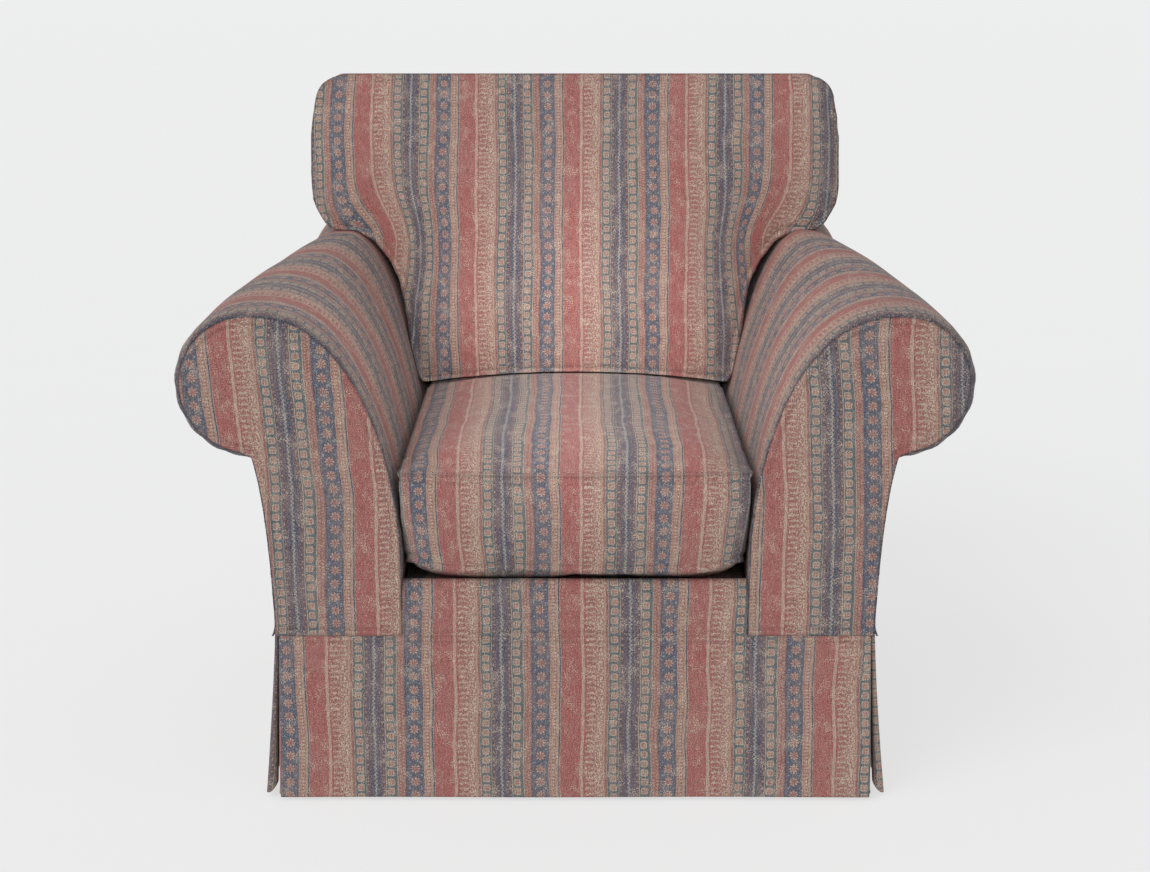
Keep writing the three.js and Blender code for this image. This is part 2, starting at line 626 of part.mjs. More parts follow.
// The dust cover is notched round the legs.
const dustHalf = SIDE_RAIL_OUT - 4;
const notchX = legOut - LEG_TOP - 2;
const frontNotch = legRows[0][1] + LEG_TOP + 2;
const rearNotch = legRows[1][1] - 2;
const dustFront = legRows[0][1] + 8;
const dustRear = BACK_RAIL_REAR - 2;
const quarter = [[dustHalf, frontNotch], [dustHalf, rearNotch], [notchX, rearNotch], [notchX, dustRear]];
const dustOutline = [
  [-notchX, frontNotch], [-notchX, dustFront], [notchX, dustFront], [notchX, frontNotch],
  ...quarter,
  ...quarter.map(([x, y]) => [-x, y]).reverse(),
].map(([x, y]) => new THREE.Vector2(x, y));
const dust = new THREE.ExtrudeGeometry(shapeOf(dustOutline), { depth: 1, bevelEnabled: false });
dust.translate(0, 0, RAIL_BOTTOM - GAP - 1);
add('dust_cover', dust, blackCloth);

export default chair;
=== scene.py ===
"""A roll-arm armchair in a printed loose cover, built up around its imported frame.

Metres, +Z up, +X to the right as seen by someone facing the chair, which faces -Y.
"""

from math import comb

import bmesh
import bpy
import numpy as np
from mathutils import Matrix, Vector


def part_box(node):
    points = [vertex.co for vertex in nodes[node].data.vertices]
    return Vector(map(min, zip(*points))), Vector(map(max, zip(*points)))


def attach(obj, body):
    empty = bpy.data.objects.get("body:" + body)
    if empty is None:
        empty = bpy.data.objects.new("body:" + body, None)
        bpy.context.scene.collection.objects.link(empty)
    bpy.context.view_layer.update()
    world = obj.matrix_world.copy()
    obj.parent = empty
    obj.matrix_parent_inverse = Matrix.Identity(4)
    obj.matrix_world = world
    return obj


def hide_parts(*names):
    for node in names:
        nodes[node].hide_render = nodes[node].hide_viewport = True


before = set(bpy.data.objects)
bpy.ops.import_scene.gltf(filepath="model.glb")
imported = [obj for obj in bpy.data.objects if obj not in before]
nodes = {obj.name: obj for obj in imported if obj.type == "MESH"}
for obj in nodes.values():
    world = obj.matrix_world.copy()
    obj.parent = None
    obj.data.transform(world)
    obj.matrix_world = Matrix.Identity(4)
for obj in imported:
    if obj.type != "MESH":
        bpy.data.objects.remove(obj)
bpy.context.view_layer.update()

# ---------------------------------------------------------------------------------------------
# The hardwood frame. Sawn and sanded beech rails and posts are glued and screwed together, with
# blocks in the corners of the seat, and a plywood board gives each arm its scroll shape.


def arithmetic(operation, swapped=False):
    """An operator of Wire, as the Math node that works it out."""
    def operate(wire, *others):
        values = (*others, wire) if swapped else (wire, *others)
        return wire.recipe.maths(operation, *values)
    return operate


class Wire:
    """A node's output. Arithmetic with a number or another wire adds the Math node for it."""

    __add__, __radd__ = arithmetic("ADD"), arithmetic("ADD", True)
    __sub__, __rsub__ = arithmetic("SUBTRACT"), arithmetic("SUBTRACT", True)
    __mul__, __rmul__ = arithmetic("MULTIPLY"), arithmetic("MULTIPLY", True)
    __truediv__, __pow__ = arithmetic("DIVIDE"), arithmetic("POWER")
    __abs__, __lt__ = arithmetic("ABSOLUTE"), arithmetic("LESS_THAN")

    def __init__(self, recipe, socket):
        self.recipe = recipe
        self.socket = socket

    def output(self, name):
        return Wire(self.recipe, self.socket.node.outputs[name])


class Recipe:
    """A material being mixed: one Principled shader and the nodes that lead to it."""

    def __init__(self, name, **constants):
        self.material = bpy.data.materials.new(name)
        self.material.use_nodes = True
        self.tree = self.material.node_tree
        self.shader = self.tree.nodes["Principled BSDF"]
        self.feed(self.shader, constants)

    def feed(self, node, sockets):
        for name, value in sockets.items():
            socket = node.inputs[name.replace("_", " ") if isinstance(name, str) else name]
            if isinstance(value, Wire):
                self.tree.links.new(value.socket, socket)
            else:
                socket.default_value = value

    def node(self, kind, settings, *values, **sockets):
        """Adds a node: its settings first, then its sockets in order, then the named ones."""
        node = self.tree.nodes.new(kind)
        for name, value in settings.items():
            if name == "stops":
                set_stops(node.color_ramp, value)
            elif name == "interpolation":
                node.color_ramp.interpolation = value
            else:
                setattr(node, name, value)
        self.feed(node, dict(enumerate(values)))
        self.feed(node, sockets)
        return Wire(self, node.outputs[0])

    def maths(self, operation, *values):
        return self.node("ShaderNodeMath", {"operation": operation}, *values)

    def place(self):
        """Where a point is on the object."""
        return self.node("ShaderNodeTexCoord", {}).output("Object")

    def place_on_cloth(self):
        """Where a point is on its own piece of cloth: how far across, and how far along."""
        place = self.node("ShaderNodeUVMap", {"uv_map": "cloth"})
        split = self.node("ShaderNodeSeparateXYZ", {}, place)
        return split, split.output("Y")

    def at(self, x, y, z=0.0):
        return self.node("ShaderNodeCombineXYZ", {}, x, y, z)

    def noise(self, where, scale=1.0, detail=2.0, roughness=0.5, dimensions="2D"):
        return self.node("ShaderNodeTexNoise", {"noise_dimensions": dimensions},
                         Vector=where, Scale=scale, Detail=detail, Roughness=roughness)

    def ease(self, value, start, end, low=0.0, high=1.0):
        """Goes smoothly from low to high as the value goes from start to end."""
        return self.node("ShaderNodeMapRange", {"interpolation_type": "SMOOTHSTEP"},
                         value, start, end, low, high)

    def until(self, value, start, end):
        """One up to the start, and down smoothly to nothing at the end."""
        return self.ease(value, start, end, 1.0, 0.0)

    def mix(self, share, first, second, blend="MIX"):
        """A share of the second colour over the first."""
        node = self.tree.nodes.new("ShaderNodeMix")
        node.data_type = "RGBA"
        node.blend_type = blend
        self.feed(node, {0: share, 6: first, 7: second})
        return Wire(self, node.outputs[2])

    def bump(self, height, distance, strength=1.0):
        return self.node("ShaderNodeBump", {}, Strength=strength, Distance=distance, Height=height)

    def done(self, **links):
        self.feed(self.shader, links)
        return self.material


def set_stops(ramp, stops):
    """Fills a colour ramp with (place, colour) stops."""
    while len(ramp.elements) < len(stops):
        ramp.elements.new(1.0)
    for element, (place, colour) in zip(ramp.elements, stops):
        element.position = place
        element.color = colour


def paint(red, green, blue):
    """A colour given on a 0 to 255 scale, as the linear light that the shader takes."""
    share = np.array([red, green, blue]) / 255
    light = np.where(share <= 0.04045, share / 12.92, ((share + 0.055) / 1.055) ** 2.4)
    return (*light.tolist(), 1.0)


def timber(name, along, pale, dark, pore_depth, **constants):
    """Wood with its grain along one axis: long soft figure, fine pores and a few dark flecks."""
    wood = Recipe(name, **constants)
    split = wood.node("ShaderNodeSeparateXYZ", {}, wood.place())
    axes = [split.output(axis) for axis in "XYZ"]
    figure = wood.at(*[a * (3.0 if axis == along else 42.0) for a, axis in zip(axes, "XYZ")])
    pores = wood.at(*[a * (30.0 if axis == along else 900.0) for a, axis in zip(axes, "XYZ")])
    broad = wood.noise(figure, detail=4.0, roughness=0.6, dimensions="3D")
    fine = wood.noise(pores, detail=2.0, dimensions="3D")
    flecks = wood.ease(fine, 0.62, 0.72)
    colour = wood.node("ShaderNodeValToRGB", {"stops": [(0.3, dark), (0.55, pale), (0.75, dark)]},
                       broad)
    colour = wood.mix(flecks * 0.35, colour, dark)
    return wood.done(Base_Color=colour, Roughness=0.5 + 0.25 * broad,
                     Normal=wood.bump(fine, pore_depth))


def coat(material, *names):
    """Gives CAD nodes a finish by filling their material slots."""
    for name in names:
        node = nodes[name]
        for slot in node.material_slots:
            slot.material = material
        if not node.material_slots:
            node.data.materials.append(material)


BEECH_PALE = paint(206, 172, 128)
BEECH_DARK = paint(172, 132, 88)
SIDES = (("left", -1), ("right", 1))
PAIR = [side for side, _ in SIDES]
CORNERS = [f"{side}_{end}" for side in PAIR for end in ("front", "rear")]
coat(timber("beech_across", "X", BEECH_PALE, BEECH_DARK, 0.0003),
     "front_rail", "spring_rail", "back_seat_rail", "back_top_rail", "back_lower_rail",
     *[f"{corner}_corner_block" for corner in CORNERS])
coat(timber("beech_lengthways", "Y", BEECH_PALE, BEECH_DARK, 0.0003),
     *[f"{side}_{rail}" for side in PAIR for rail in ("side_rail", "arm_lower_rail", "arm_top_rail")])
coat(timber("beech_upright", "Z", BEECH_PALE, BEECH_DARK, 0.0003),
     *[f"{side}_back_post" for side in PAIR])
coat(timber("plywood", "Z", paint(200, 168, 122), paint(160, 120, 78), 0.0003),
     *[f"{side}_arm_front_board" for side in PAIR])

# ---------------------------------------------------------------------------------------------
# Snaking steel springs run from front to back under the seat. They are drawn wire, blued by
# tempering and lightly oiled.

steel = Recipe("spring_steel", Metallic=1.0)
where = steel.place()
drawn = steel.noise(where, 60.0, 3.0, dimensions="3D")
steel_colour = steel.node("ShaderNodeValToRGB", {
    "stops": [(0.35, paint(70, 74, 86)), (0.6, paint(112, 114, 120)), (0.75, paint(96, 78, 62))]},
    drawn)
coat(steel.done(Base_Color=steel_colour, Roughness=0.25 + 0.3 * drawn,
                Normal=steel.bump(steel.noise(where, 900.0, 1.0, dimensions="3D"), 0.0001)),
     *[f"seat_spring_{i}" for i in (1, 2, 3, 4)])

# ---------------------------------------------------------------------------------------------
# Three straps of woven elastic webbing are stapled from the lower to the top rail of the back.
# Each is 52 mm wide with a closer weave along its edges.

RAKE = np.tan(np.radians(13))  # how the inside back leans, for each metre of height
SEAT_TOP = 0.446  # height of the seat's upper seam, where the back's planes are measured


def inside_back(z):
    """How far back the upholstered inside back is at a height."""
    return 0.250 + (z - SEAT_TOP) * RAKE


def grid(*axes):
    """Points from their coordinates, which may be numbers, rows, columns or whole grids."""
    return np.stack(np.broadcast_arrays(*axes), -1)


def quads(points, start):
    """Corner numbers of the quads between neighbouring rows and columns of a grid of points."""
    rows, columns = points.shape[:2]
    n = start + np.arange(rows * columns).reshape(rows, columns)
    return np.stack([n[:-1, :-1], n[:-1, 1:], n[1:, 1:], n[1:, :-1]], axis=-1).reshape(-1, 4)


def put(name, data):
    """Puts a mesh, a light or a camera in the scene."""
    thing = bpy.data.objects.new(name, data)
    bpy.context.scene.collection.objects.link(thing)
    return thing


def sew(name, panels, away_from, material, node_names, wall=0.0):
    """One piece from grids of points, each with its cloth coordinates and its nearness to a seam.

    Each grid's quads join neighbouring rows and columns. They are turned so that most of them
    face away from the given point, and points that lie together are merged, which sews the
    grids to each other. A wall thickens the sheet on its inner side.
    """
    corners, start = [], 0
    for points, _, _ in panels:
        corners.append(quads(points, start))
        start += points[..., 0].size
    spots = np.concatenate([points.reshape(-1, 3) for points, _, _ in panels])
    cloth = np.concatenate([uv.reshape(-1, 2) for _, uv, _ in panels])
    seam = np.concatenate([near.reshape(-1) for _, _, near in panels])
    for i, face in enumerate(corners):
        a, b, c, d = (spots[face[:, k]] for k in range(4))
        facing = np.cross(c - a, d - b)
        outward = (a + b + c + d) / 4 - np.asarray(away_from)
        if (facing * outward).sum() < 0:
            corners[i] = face[:, ::-1]
    corners = np.concatenate(corners)
    mesh = bpy.data.meshes.new(name)
    mesh.from_pydata(spots.tolist(), [], corners.tolist())
    layer = mesh.uv_layers.new(name="cloth")
    layer.data.foreach_set("uv", cloth[corners.ravel()].astype(np.float32).ravel())
    mesh.attributes.new("seam", "FLOAT", "POINT").data.foreach_set("value", seam.astype(np.float32))
    if len(panels) > 1:
        work = bmesh.new()
        work.from_mesh(mesh)
        bmesh.ops.remove_doubles(work, verts=work.verts, dist=0.0002)
        work.to_mesh(mesh)
        work.free()
    mesh.shade_smooth()
    mesh.materials.append(material)
    piece = put(name, mesh)
    if wall:
        thicken = piece.modifiers.new("wall", "SOLIDIFY")
        thicken.thickness = wall
        thicken.offset = -1.0
    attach(piece, "root")
    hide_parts(*node_names)
    return piece


webbing = Recipe("webbing", Roughness=0.85, Sheen_Weight=0.15)
across, along = webbing.place_on_cloth()
warp = abs(webbing.maths("SINE", across * 2600.0))
weft = abs(webbing.maths("SINE", along * 1400.0))
rib = webbing.maths("MAXIMUM", warp, weft)
stripe = webbing.until(abs(abs(across) - 0.019), 0.0022, 0.0028)
web_colour = webbing.mix(rib, paint(108, 98, 82), paint(168, 156, 132))
web_colour = webbing.mix(stripe * 0.7, web_colour, paint(92, 62, 50))
web_material = webbing.done(Base_Color=web_colour, Normal=webbing.bump(rib, 0.0004))

STRAP_HALF = 0.026
for i, middle in enumerate((-0.170, 0.0, 0.170), 1):
    x = np.linspace(-STRAP_HALF, STRAP_HALF, 15)
    z = np.linspace(0.308, 0.832, 80)
    across, height = np.meshgrid(x, z)
    back = inside_back(height) + 0.0430 + 0.0006 * np.cos(across * 240)
    strap = sew(f"back_strap_{i}_webbing",
                [(grid(across + middle, back, height), grid(across, height), 0 * height)],
                (0, 5, 0.5), web_material, [f"back_strap_{i}"], 0.0014)

# ---------------------------------------------------------------------------------------------
# Foam with a layer of wadding pads the arms, the back, the front edge and the deck of the seat.
# It is cut to the shape of the board or rail under it, and the cover is drawn over it.

FRONT = -0.432  # plane of the arm front panels
ARM_REACH = 0.720  # length of the arm, measured along its top


def bezier(points, t):
    """A curve drawn towards its control points, each weighted by its Bernstein polynomial."""
    n = len(points) - 1
    return sum(comb(n, k) * t ** k * (1 - t) ** (n - k) * p for k, p in enumerate(points))


def arm_section(distance, inset=0.0, inner_base=0.2625, outer_base=0.227):
    """The arm's outline at distances behind its front, as x and z from the inner base round.

    The inside face is a cubic curve that leans out to the top, the roll is an arc round a
    centre, and the outside is a shallow quadratic curve down to the base. Towards the back the
    roll shrinks and moves inwards as the 1.85th power of the distance, and the top rises a
    little. Padding fills the roll out by a quarter ellipse behind its flat front. The inset
    moves every point along the outline's inward normal.
    """
    d = np.atleast_1d(distance).astype(float)[:, None]
    taper = np.minimum(d / 0.606, 1) ** 1.85
    fill = 0.008 * np.sqrt(1 - (1 - np.minimum(d / 0.024, 1)) ** 2)

    def mix(front, rear):
        return front + (rear - front) * taper

    top = 0.648 + fill + 0.020 * np.minimum(d / 0.680, 1)
    radius = mix(0.088, 0.068) + fill
    centre = mix(0.412, 0.344)
    t = np.linspace(0, 1, 34)
    inner = (bezier([0.2245 + 0 * d, 0.2245 + mix(0, 0.0015), mix(0.270, 0.285), centre - 0.008], t),
             bezier([0.330 + 0 * d, 0.440 + 0 * d, top, top], t))
    turn = np.pi / 2 - np.linspace(0, 1, 40) * (np.pi / 2 + np.radians(mix(80, 48)))
    roll = (centre + radius * np.cos(turn), top - radius + radius * np.sin(turn))
    s = np.linspace(0, 1, 22)
    outer = (bezier([mix(0.412, 0.393), 0.390 + mix(0.004, 0), 0.390 + 0 * d], s),
             bezier([mix(0.466, 0.540), 0.400 + 0 * d, 0.240 + 0 * d], s))
    low = np.linspace(0, 1, 7)[:-1]
    stem = (0.2245 + 0 * d * low, inner_base + (0.330 - inner_base) * low + 0 * d)
    foot = (0.390 + 0 * d * low[1:], 0.240 + (outer_base - 0.240) * low[1:] / low[-1] + 0 * d)
    x = np.concatenate([stem[0], inner[0], roll[0], outer[0], foot[0]], axis=1)
    z = np.concatenate([stem[1], inner[1], roll[1], outer[1], foot[1]], axis=1)
    run, rise = np.gradient(x, axis=1), np.gradient(z, axis=1)
    length = np.hypot(run, rise)
    return x + inset * rise / length, z - inset * run / length


def arm_depth(z, distance):
    """How far back a point of the arm is: the same share of the way to the inside back."""
    return FRONT + (inside_back(z) - FRONT) * distance / ARM_REACH


def arm_surface(side, distance, inset=0.0, inner_base=0.2625, outer_base=0.227):
    """The arm's section carried back from the front plane to the leaning inside back."""
    x, z = arm_section(distance, inset, inner_base, outer_base)
    return grid(side * x, arm_depth(z, np.asarray(distance)[:, None]), z)


def lengths(points, axis):
    """Distance travelled along one axis of a grid of points, from its first point."""
    step = np.linalg.norm(np.diff(points, axis=axis), axis=-1)
    zero = np.zeros_like(np.take(step, [0], axis))
    return np.concatenate([zero, np.cumsum(step, axis=axis)], axis=axis)


def ripple(across, along, wave, seed):
    """Soft uneven waves: six sine waves that run in different directions, averaged."""
    rng = np.random.default_rng(seed)
    heading = rng.uniform(0, np.pi, 6)
    size = wave * rng.uniform(0.6, 1.7, 6)
    phase = rng.uniform(0, 2 * np.pi, 6)
    reach = across[..., None] * np.cos(heading) + along[..., None] * np.sin(heading)
    return np.sin(2 * np.pi * reach / size + phase).mean(-1)


wadding = Recipe("wadding", Roughness=1.0, Sheen_Weight=0.3)
where = wadding.place()
fibres = wadding.noise(where, 240.0, 4.0, 0.7, "3D")
clumps = wadding.noise(where, 30.0, 2.0, 0.5, "3D")
wadding_colour = wadding.mix(clumps, paint(232, 226, 206), paint(244, 242, 234))
wadding_colour = wadding.mix(wadding.ease(fibres, 0.45, 0.7) * 0.25, wadding_colour,
                             paint(214, 204, 176))
wadding_material = wadding.done(Base_Color=wadding_colour,
                                Normal=wadding.bump(fibres + clumps, 0.0015))


def plain(points):
    """Cloth coordinates for a surface whose pattern is not aligned to anything."""
    return grid(lengths(points, 1), lengths(points, 0))


PAD_INSET = 0.0045
for side, s in SIDES:
    behind = np.linspace(0.030, ARM_REACH, 70)
    pad = arm_surface(s, behind, PAD_INSET, 0.2640, 0.2390)
    sew(f"{side}_arm_wadding", [(pad, plain(pad), 0 * pad[..., 0])], (s * 0.32, -0.05, 0.45),
        wadding_material, [f"{side}_arm_padding"], 0.026)


def pick(line, travelled, wanted):
    """The points of a line at the wanted distances along it."""
    return np.stack([np.interp(wanted, travelled, axis) for axis in line.T], -1)


def even(points, count):
    """Evenly spaced points on the Catmull-Rom curve through the given ones."""
    p = np.asarray(points, float)
    p = np.concatenate([[2 * p[0] - p[1]], p, [2 * p[-1] - p[-2]]])[:, None]
    a, b, c, d = p[:-3], p[1:-2], p[2:-1], p[3:]
    t = np.linspace(0, 1, 21)[:-1, None]
    curve = b + 0.5 * ((c - a) * t + (2 * a - 5 * b + 4 * c - d) * t ** 2
                       + (3 * b - a - 3 * c + d) * t ** 3)
    curve = np.concatenate([curve.reshape(-1, p.shape[-1]), c[-1]])
    travelled = lengths(curve, 0)
    return pick(curve, travelled, np.linspace(0, travelled[-1], count))


def coons(south, north, west, east):
    """Fills four edges: both blends of opposite edges, less the blend of the corners."""
    s = np.linspace(0, 1, len(south))[None, :, None]
    t = np.linspace(0, 1, len(west))[:, None, None]
    sideways = west[:, None] * (1 - s) + east[:, None] * s
    upwards = south[None] * (1 - t) + north[None] * t
    corners = ((south[0] * (1 - s) + south[-1] * s) * (1 - t)
               + (north[0] * (1 - s) + north[-1] * s) * t)
    return sideways + upwards - corners


MIRROR = np.array([-1.0, 1.0])


def tee(bottom, neck, ledge, ear, top, spacing):
    """A T-shaped panel from the edges of its right half, as (x, z) points.

    Returns the grid between the arms, the wider grid above them, and the closed outline from
    the middle of the bottom round to the right.
    """
    count = [max(3, round(lengths(np.asarray(edge, float), 0)[-1] / spacing) + 1)
             for edge in (bottom, neck, ledge, ear)]
    bottom, neck, ledge, ear = (even(e, n) for e, n in zip((bottom, neck, ledge, ear), count))
    top = even(top, count[0] + count[2] - 1)
    south = np.concatenate([(bottom * MIRROR)[::-1], bottom[1:]])
    shoulder = np.linspace(neck[-1] * MIRROR, neck[-1], len(south))
    lower = coons(south, shoulder, neck * MIRROR, neck)
    base = np.concatenate([(ledge * MIRROR)[::-1], shoulder[1:-1], ledge])
    crown = np.concatenate([top * MIRROR, top[::-1][1:]])
    upper = coons(base, crown, ear * MIRROR, ear)
    half = np.concatenate([bottom, neck[1:], ledge[1:], ear[1:], top[1:]])
    outline = np.concatenate([half, (half * MIRROR)[::-1][1:]])
    return lower, upper, outline


def stand(flat, lean, forward=0.0):
    """Stands an (x, z) grid on a leaning plane, brought forward square to it."""
    x, z = flat[..., 0], flat[..., 1]
    angle = np.arctan(RAKE)
    return grid(x, lean(z) - forward * np.cos(angle), z + forward * np.sin(angle))


def inside_back_edges(inset):
    """Edges of the upholstered inside back: narrow between the arms and wide above them."""
    neck = 0.2225 - inset
    half = 0.380 - inset
    ledge = 0.680 + inset
    top = 0.8475 - inset
    lean_out = bezier([np.array([[neck, 0.330]]), np.array([[neck, 0.440]]),
                       np.array([[0.281 - inset, ledge]]), np.array([[0.334 - inset, ledge]])],
                      np.linspace(0, 1, 9)[:, None])
    round_top = np.linspace(0, np.pi / 2, 6)[:, None]
    corner = np.array([half - 0.040, top - 0.040]) + 0.040 * np.hstack([np.cos(round_top),
                                                                      np.sin(round_top)])
    return ([(0, 0.297 + inset), (neck, 0.297 + inset)], [(neck, 0.297 + inset), *lean_out],
            [(0.334 - inset, ledge), (half, ledge)], [(half, ledge), *corner[:4]],
            [*corner[3:], (0.2, top), (0, top)])


lower, upper, _ = tee(*inside_back_edges(0.002), 0.022)
pads = [stand(flat, inside_back, -0.0032) for flat in (lower, upper)]
sew("back_wadding", [(pad, plain(pad), 0 * pad[..., 0]) for pad in pads], (0, 5, 0.5),
    wadding_material, ["back_padding"], 0.038)

edge_path = even([(-0.4065, 0.2375), (-0.4250, 0.2375), (-0.4255, 0.262), (-0.4225, 0.281),
                  (-0.4130, 0.2883), (-0.4085, 0.2880)], 40)
across, along = np.meshgrid(np.linspace(-0.2205, 0.2205, 60), np.arange(len(edge_path)))
edge_roll = grid(across, edge_path[along, 0], edge_path[along, 1])
sew("front_edge_wadding", [(edge_roll, plain(edge_roll), 0 * across)], (0, -0.41, 0.26),
    wadding_material, ["front_edge_roll"], 0.004)

across, back = np.meshgrid(np.linspace(-0.2205, 0.2205, 50), np.linspace(-0.4055, 0.2030, 70))
deck_rise = 0.2870 + 0.0008 * ripple(across, back, 0.12, 5)
deck_wadding = grid(across, back, deck_rise)
sew("deck_wadding", [(deck_wadding, plain(deck_wadding), 0 * across)], (0, 0, 0),
    wadding_material, ["deck_pad"], 0.030)

# ---------------------------------------------------------------------------------------------
# The loose cover's cotton is printed with a repeat of bands: faded brick red, rows of squares,
# dotted slate lines, a braid and a row of flowers. Washing has worn the print and left flecks.

REPEAT = 0.166  # width of one repeat on the cover
RED = paint(160, 92, 88)
CREAM = paint(198, 182, 162)
BEIGE = paint(170, 142, 125)
SALMON = paint(194, 150, 130)
PINK = paint(148, 100, 95)
TEAL = paint(92, 101, 106)
SLATE = paint(84, 90, 106)
NAVY = paint(80, 83, 100)
MAROON = paint(96, 82, 90)
PALE = paint(164, 150, 136)
BANDS = [(0.0, RED), (0.150, paint(178, 150, 135)), (0.172, RED), (0.19, paint(154, 100, 95)),
         (0.262, paint(158, 114, 104)), (0.325, BEIGE), (0.34, PINK), (0.36, PALE),
         (0.366, TEAL), (0.450, PALE), (0.457, MAROON), (0.49, NAVY), (0.517, SLATE),
         (0.55, NAVY), (0.58, MAROON), (0.612, PALE), (0.619, TEAL), (0.697, TEAL),
         (0.704, PALE), (0.712, PINK), (0.772, NAVY), (0.783, SLATE), (0.914, BEIGE),
         (0.940, PINK), (0.962, BEIGE), (0.978, PALE), (0.984, NAVY), (0.994, PALE)]
cotton = Recipe("printed_cotton", Sheen_Weight=0.12, Sheen_Roughness=0.5, Specular_IOR_Level=0.25)
across, along = cotton.place_on_cloth()


def mottle(across_scale, along_scale, detail=2.0, roughness=0.5):
    """Uneven patches: about so many to a repeat across the cloth, and so many along it."""
    return cotton.noise(cotton.at(across * across_scale, along * along_scale), 1.0, detail, roughness)


sway = mottle(1.1, 1.5, 1.0) - 0.5
jitter = mottle(60.0, 26.0) - 0.5
swayed = across + sway * 0.05 + jitter * 0.008
place_in_repeat = cotton.maths("FRACT", swayed)
print_colour = cotton.node("ShaderNodeValToRGB", {"stops": BANDS, "interpolation": "CONSTANT"},
                           place_in_repeat)


def cells(pitch, shift=0.0):
    """Divides the length of the cloth into cells, as a place from -0.5 to 0.5 within each."""
    return cotton.maths("FRACT", along * (1 / pitch) + shift) - 0.5


def from_line(place):
    """Distance across the cloth from a line of the repeat."""
    return place_in_repeat - place


def band(low, high, soft=0.002):
    """One inside a band of the repeat, nothing outside it."""
    half = (high - low) / 2
    return cotton.until(abs(from_line((low + high) / 2)), half - soft, half + soft)


def spots(place, pitch, radius, shift=0.0):
    """A row of round dots."""
    away = cotton.maths("SQRT", from_line(place) ** 2 + (cells(pitch, shift) * pitch) ** 2)
    return cotton.until(away, radius * 0.7, radius * 1.25)


def tint(share, colour):
    """Lays a share of a colour over what is there."""
    global print_colour
    print_colour = cotton.mix(share, print_colour, colour)


def stamp(mask, colour, strength):
    """Prints a colour through a mask, worn away in places."""
    tint(mask * strength * wear, colour)


wear = cotton.ease(mottle(34.0, 30.0, 3.0, 0.6), 0.28, 0.52, 0.35, 1.0)

# A comb of short bars, and specks that crowd towards its outer side.
ragged = mottle(40.0, 34.0, 2.0, 0.7)
bow = (from_line(0.226) * 9.0) ** 2 + (ragged - 0.5) * 1.1
bars = cotton.until(abs(cells(0.044) + bow), 0.08, 0.22) * band(0.190, 0.262)
stamp(bars, CREAM, 0.75)
speck = cotton.node("ShaderNodeTexVoronoi", {"voronoi_dimensions": "2D"},
                    Vector=cotton.at(place_in_repeat * 62.0, along * 52.0), Scale=1.0)
crowd = cotton.ease(place_in_repeat, 0.235, 0.315, 0.18, 0.42)
stamp((speck < crowd) * band(0.238, 0.325), CREAM, 0.85)

# Two rows of squares, each with a light rim and a red cross of petals.
for line, shift in ((0.410, 0.0), (0.657, 0.4)):
    pitch = 0.0765
    p = from_line(line) * (1 / pitch)
    q = cells(pitch, shift)
    square = (p ** 4 + q ** 4) ** 0.25
    reach = p ** 2 + q ** 2
    petals = cotton.ease((p * q / (reach + 0.001)) ** 2, 0.10, 0.17) * (reach < 0.075)
    stamp(cotton.until(square, 0.35, 0.40), CREAM, 0.70)
    stamp(cotton.until(square, 0.27, 0.32), BEIGE, 0.85)
    stamp(petals, paint(158, 82, 76), 0.85)

# Dotted lines and the braid between the rows.
for line, pitch, radius, shift, colour in (
        (0.472, 0.055, 0.0085, 0.0, BEIGE), (0.600, 0.055, 0.0085, 0.5, BEIGE),
        (0.578, 0.055, 0.0060, 0.0, PINK), (0.499, 0.028, 0.0045, 0.0, PINK),
        (0.730, 0.0280, 0.0095, 0.0, BEIGE), (0.757, 0.0280, 0.0095, 0.5, BEIGE),
        (0.926, 0.0280, 0.0095, 0.0, RED), (0.951, 0.0280, 0.0095, 0.5, CREAM),
        (0.803, 0.109, 0.0075, 0.5, paint(138, 158, 172)),
        (0.893, 0.109, 0.0075, 0.5, paint(138, 158, 172))):
    stamp(spots(line, pitch, radius, shift), colour, 0.8)
zigzag = from_line(0.5335) - (abs(cells(0.034)) * 4.0 - 1.0) * 0.0080
stamp(cotton.until(abs(zigzag), 0.004, 0.010), CREAM, 0.60)

# A row of eight-petalled flowers with red eyes.
p = from_line(0.8475)
q = cells(0.109) * 0.109
reach = cotton.maths("SQRT", p ** 2 + q ** 2)
angle = cotton.maths("ARCTAN2", q, p)
lobe = cotton.maths("COSINE", angle * 8.0)
petal = cotton.until(reach - (0.033 + 0.005 * lobe), -0.003, 0.003)
stamp(petal * cotton.ease(lobe + (0.016 - reach) * 25.0, -1.0, -0.3), SALMON, 0.95)
stamp(cotton.until(abs(reach - 0.016), 0.001, 0.005), MAROON, 0.55)
stamp(cotton.until(reach, 0.009, 0.013), paint(160, 84, 76), 0.9)

# Yarns: long slubs along the warp, short ones along the weft, and the flecks that wear leaves.
slub = mottle(210.0, 16.0, 2.0, 0.6)
weft = mottle(30.0, 300.0, 1.0)
streak = mottle(46.0, 2.6, 3.0, 0.6)
fade = mottle(2.4, 2.0, 3.0, 0.6)
fleck = mottle(150.0, 105.0, 2.0, 0.7)
patch = cotton.noise(cotton.at(across * 9.0, along * 7.0, 3.0), 1.0, 3.0, 0.65)
worn = cotton.ease(fleck, 0.54, 0.68) * cotton.ease(patch, 0.40, 0.60, 0.45, 1.0)
tint(worn * 0.72, paint(190, 180, 166))
tint(cotton.ease(fleck, 0.46, 0.32) * 0.40, paint(88, 70, 72))
tint(cotton.ease(fade, 0.35, 0.75) * 0.16, paint(160, 138, 130))
tint(cotton.ease(streak, 0.45, 0.75) * 0.22, paint(176, 148, 138))
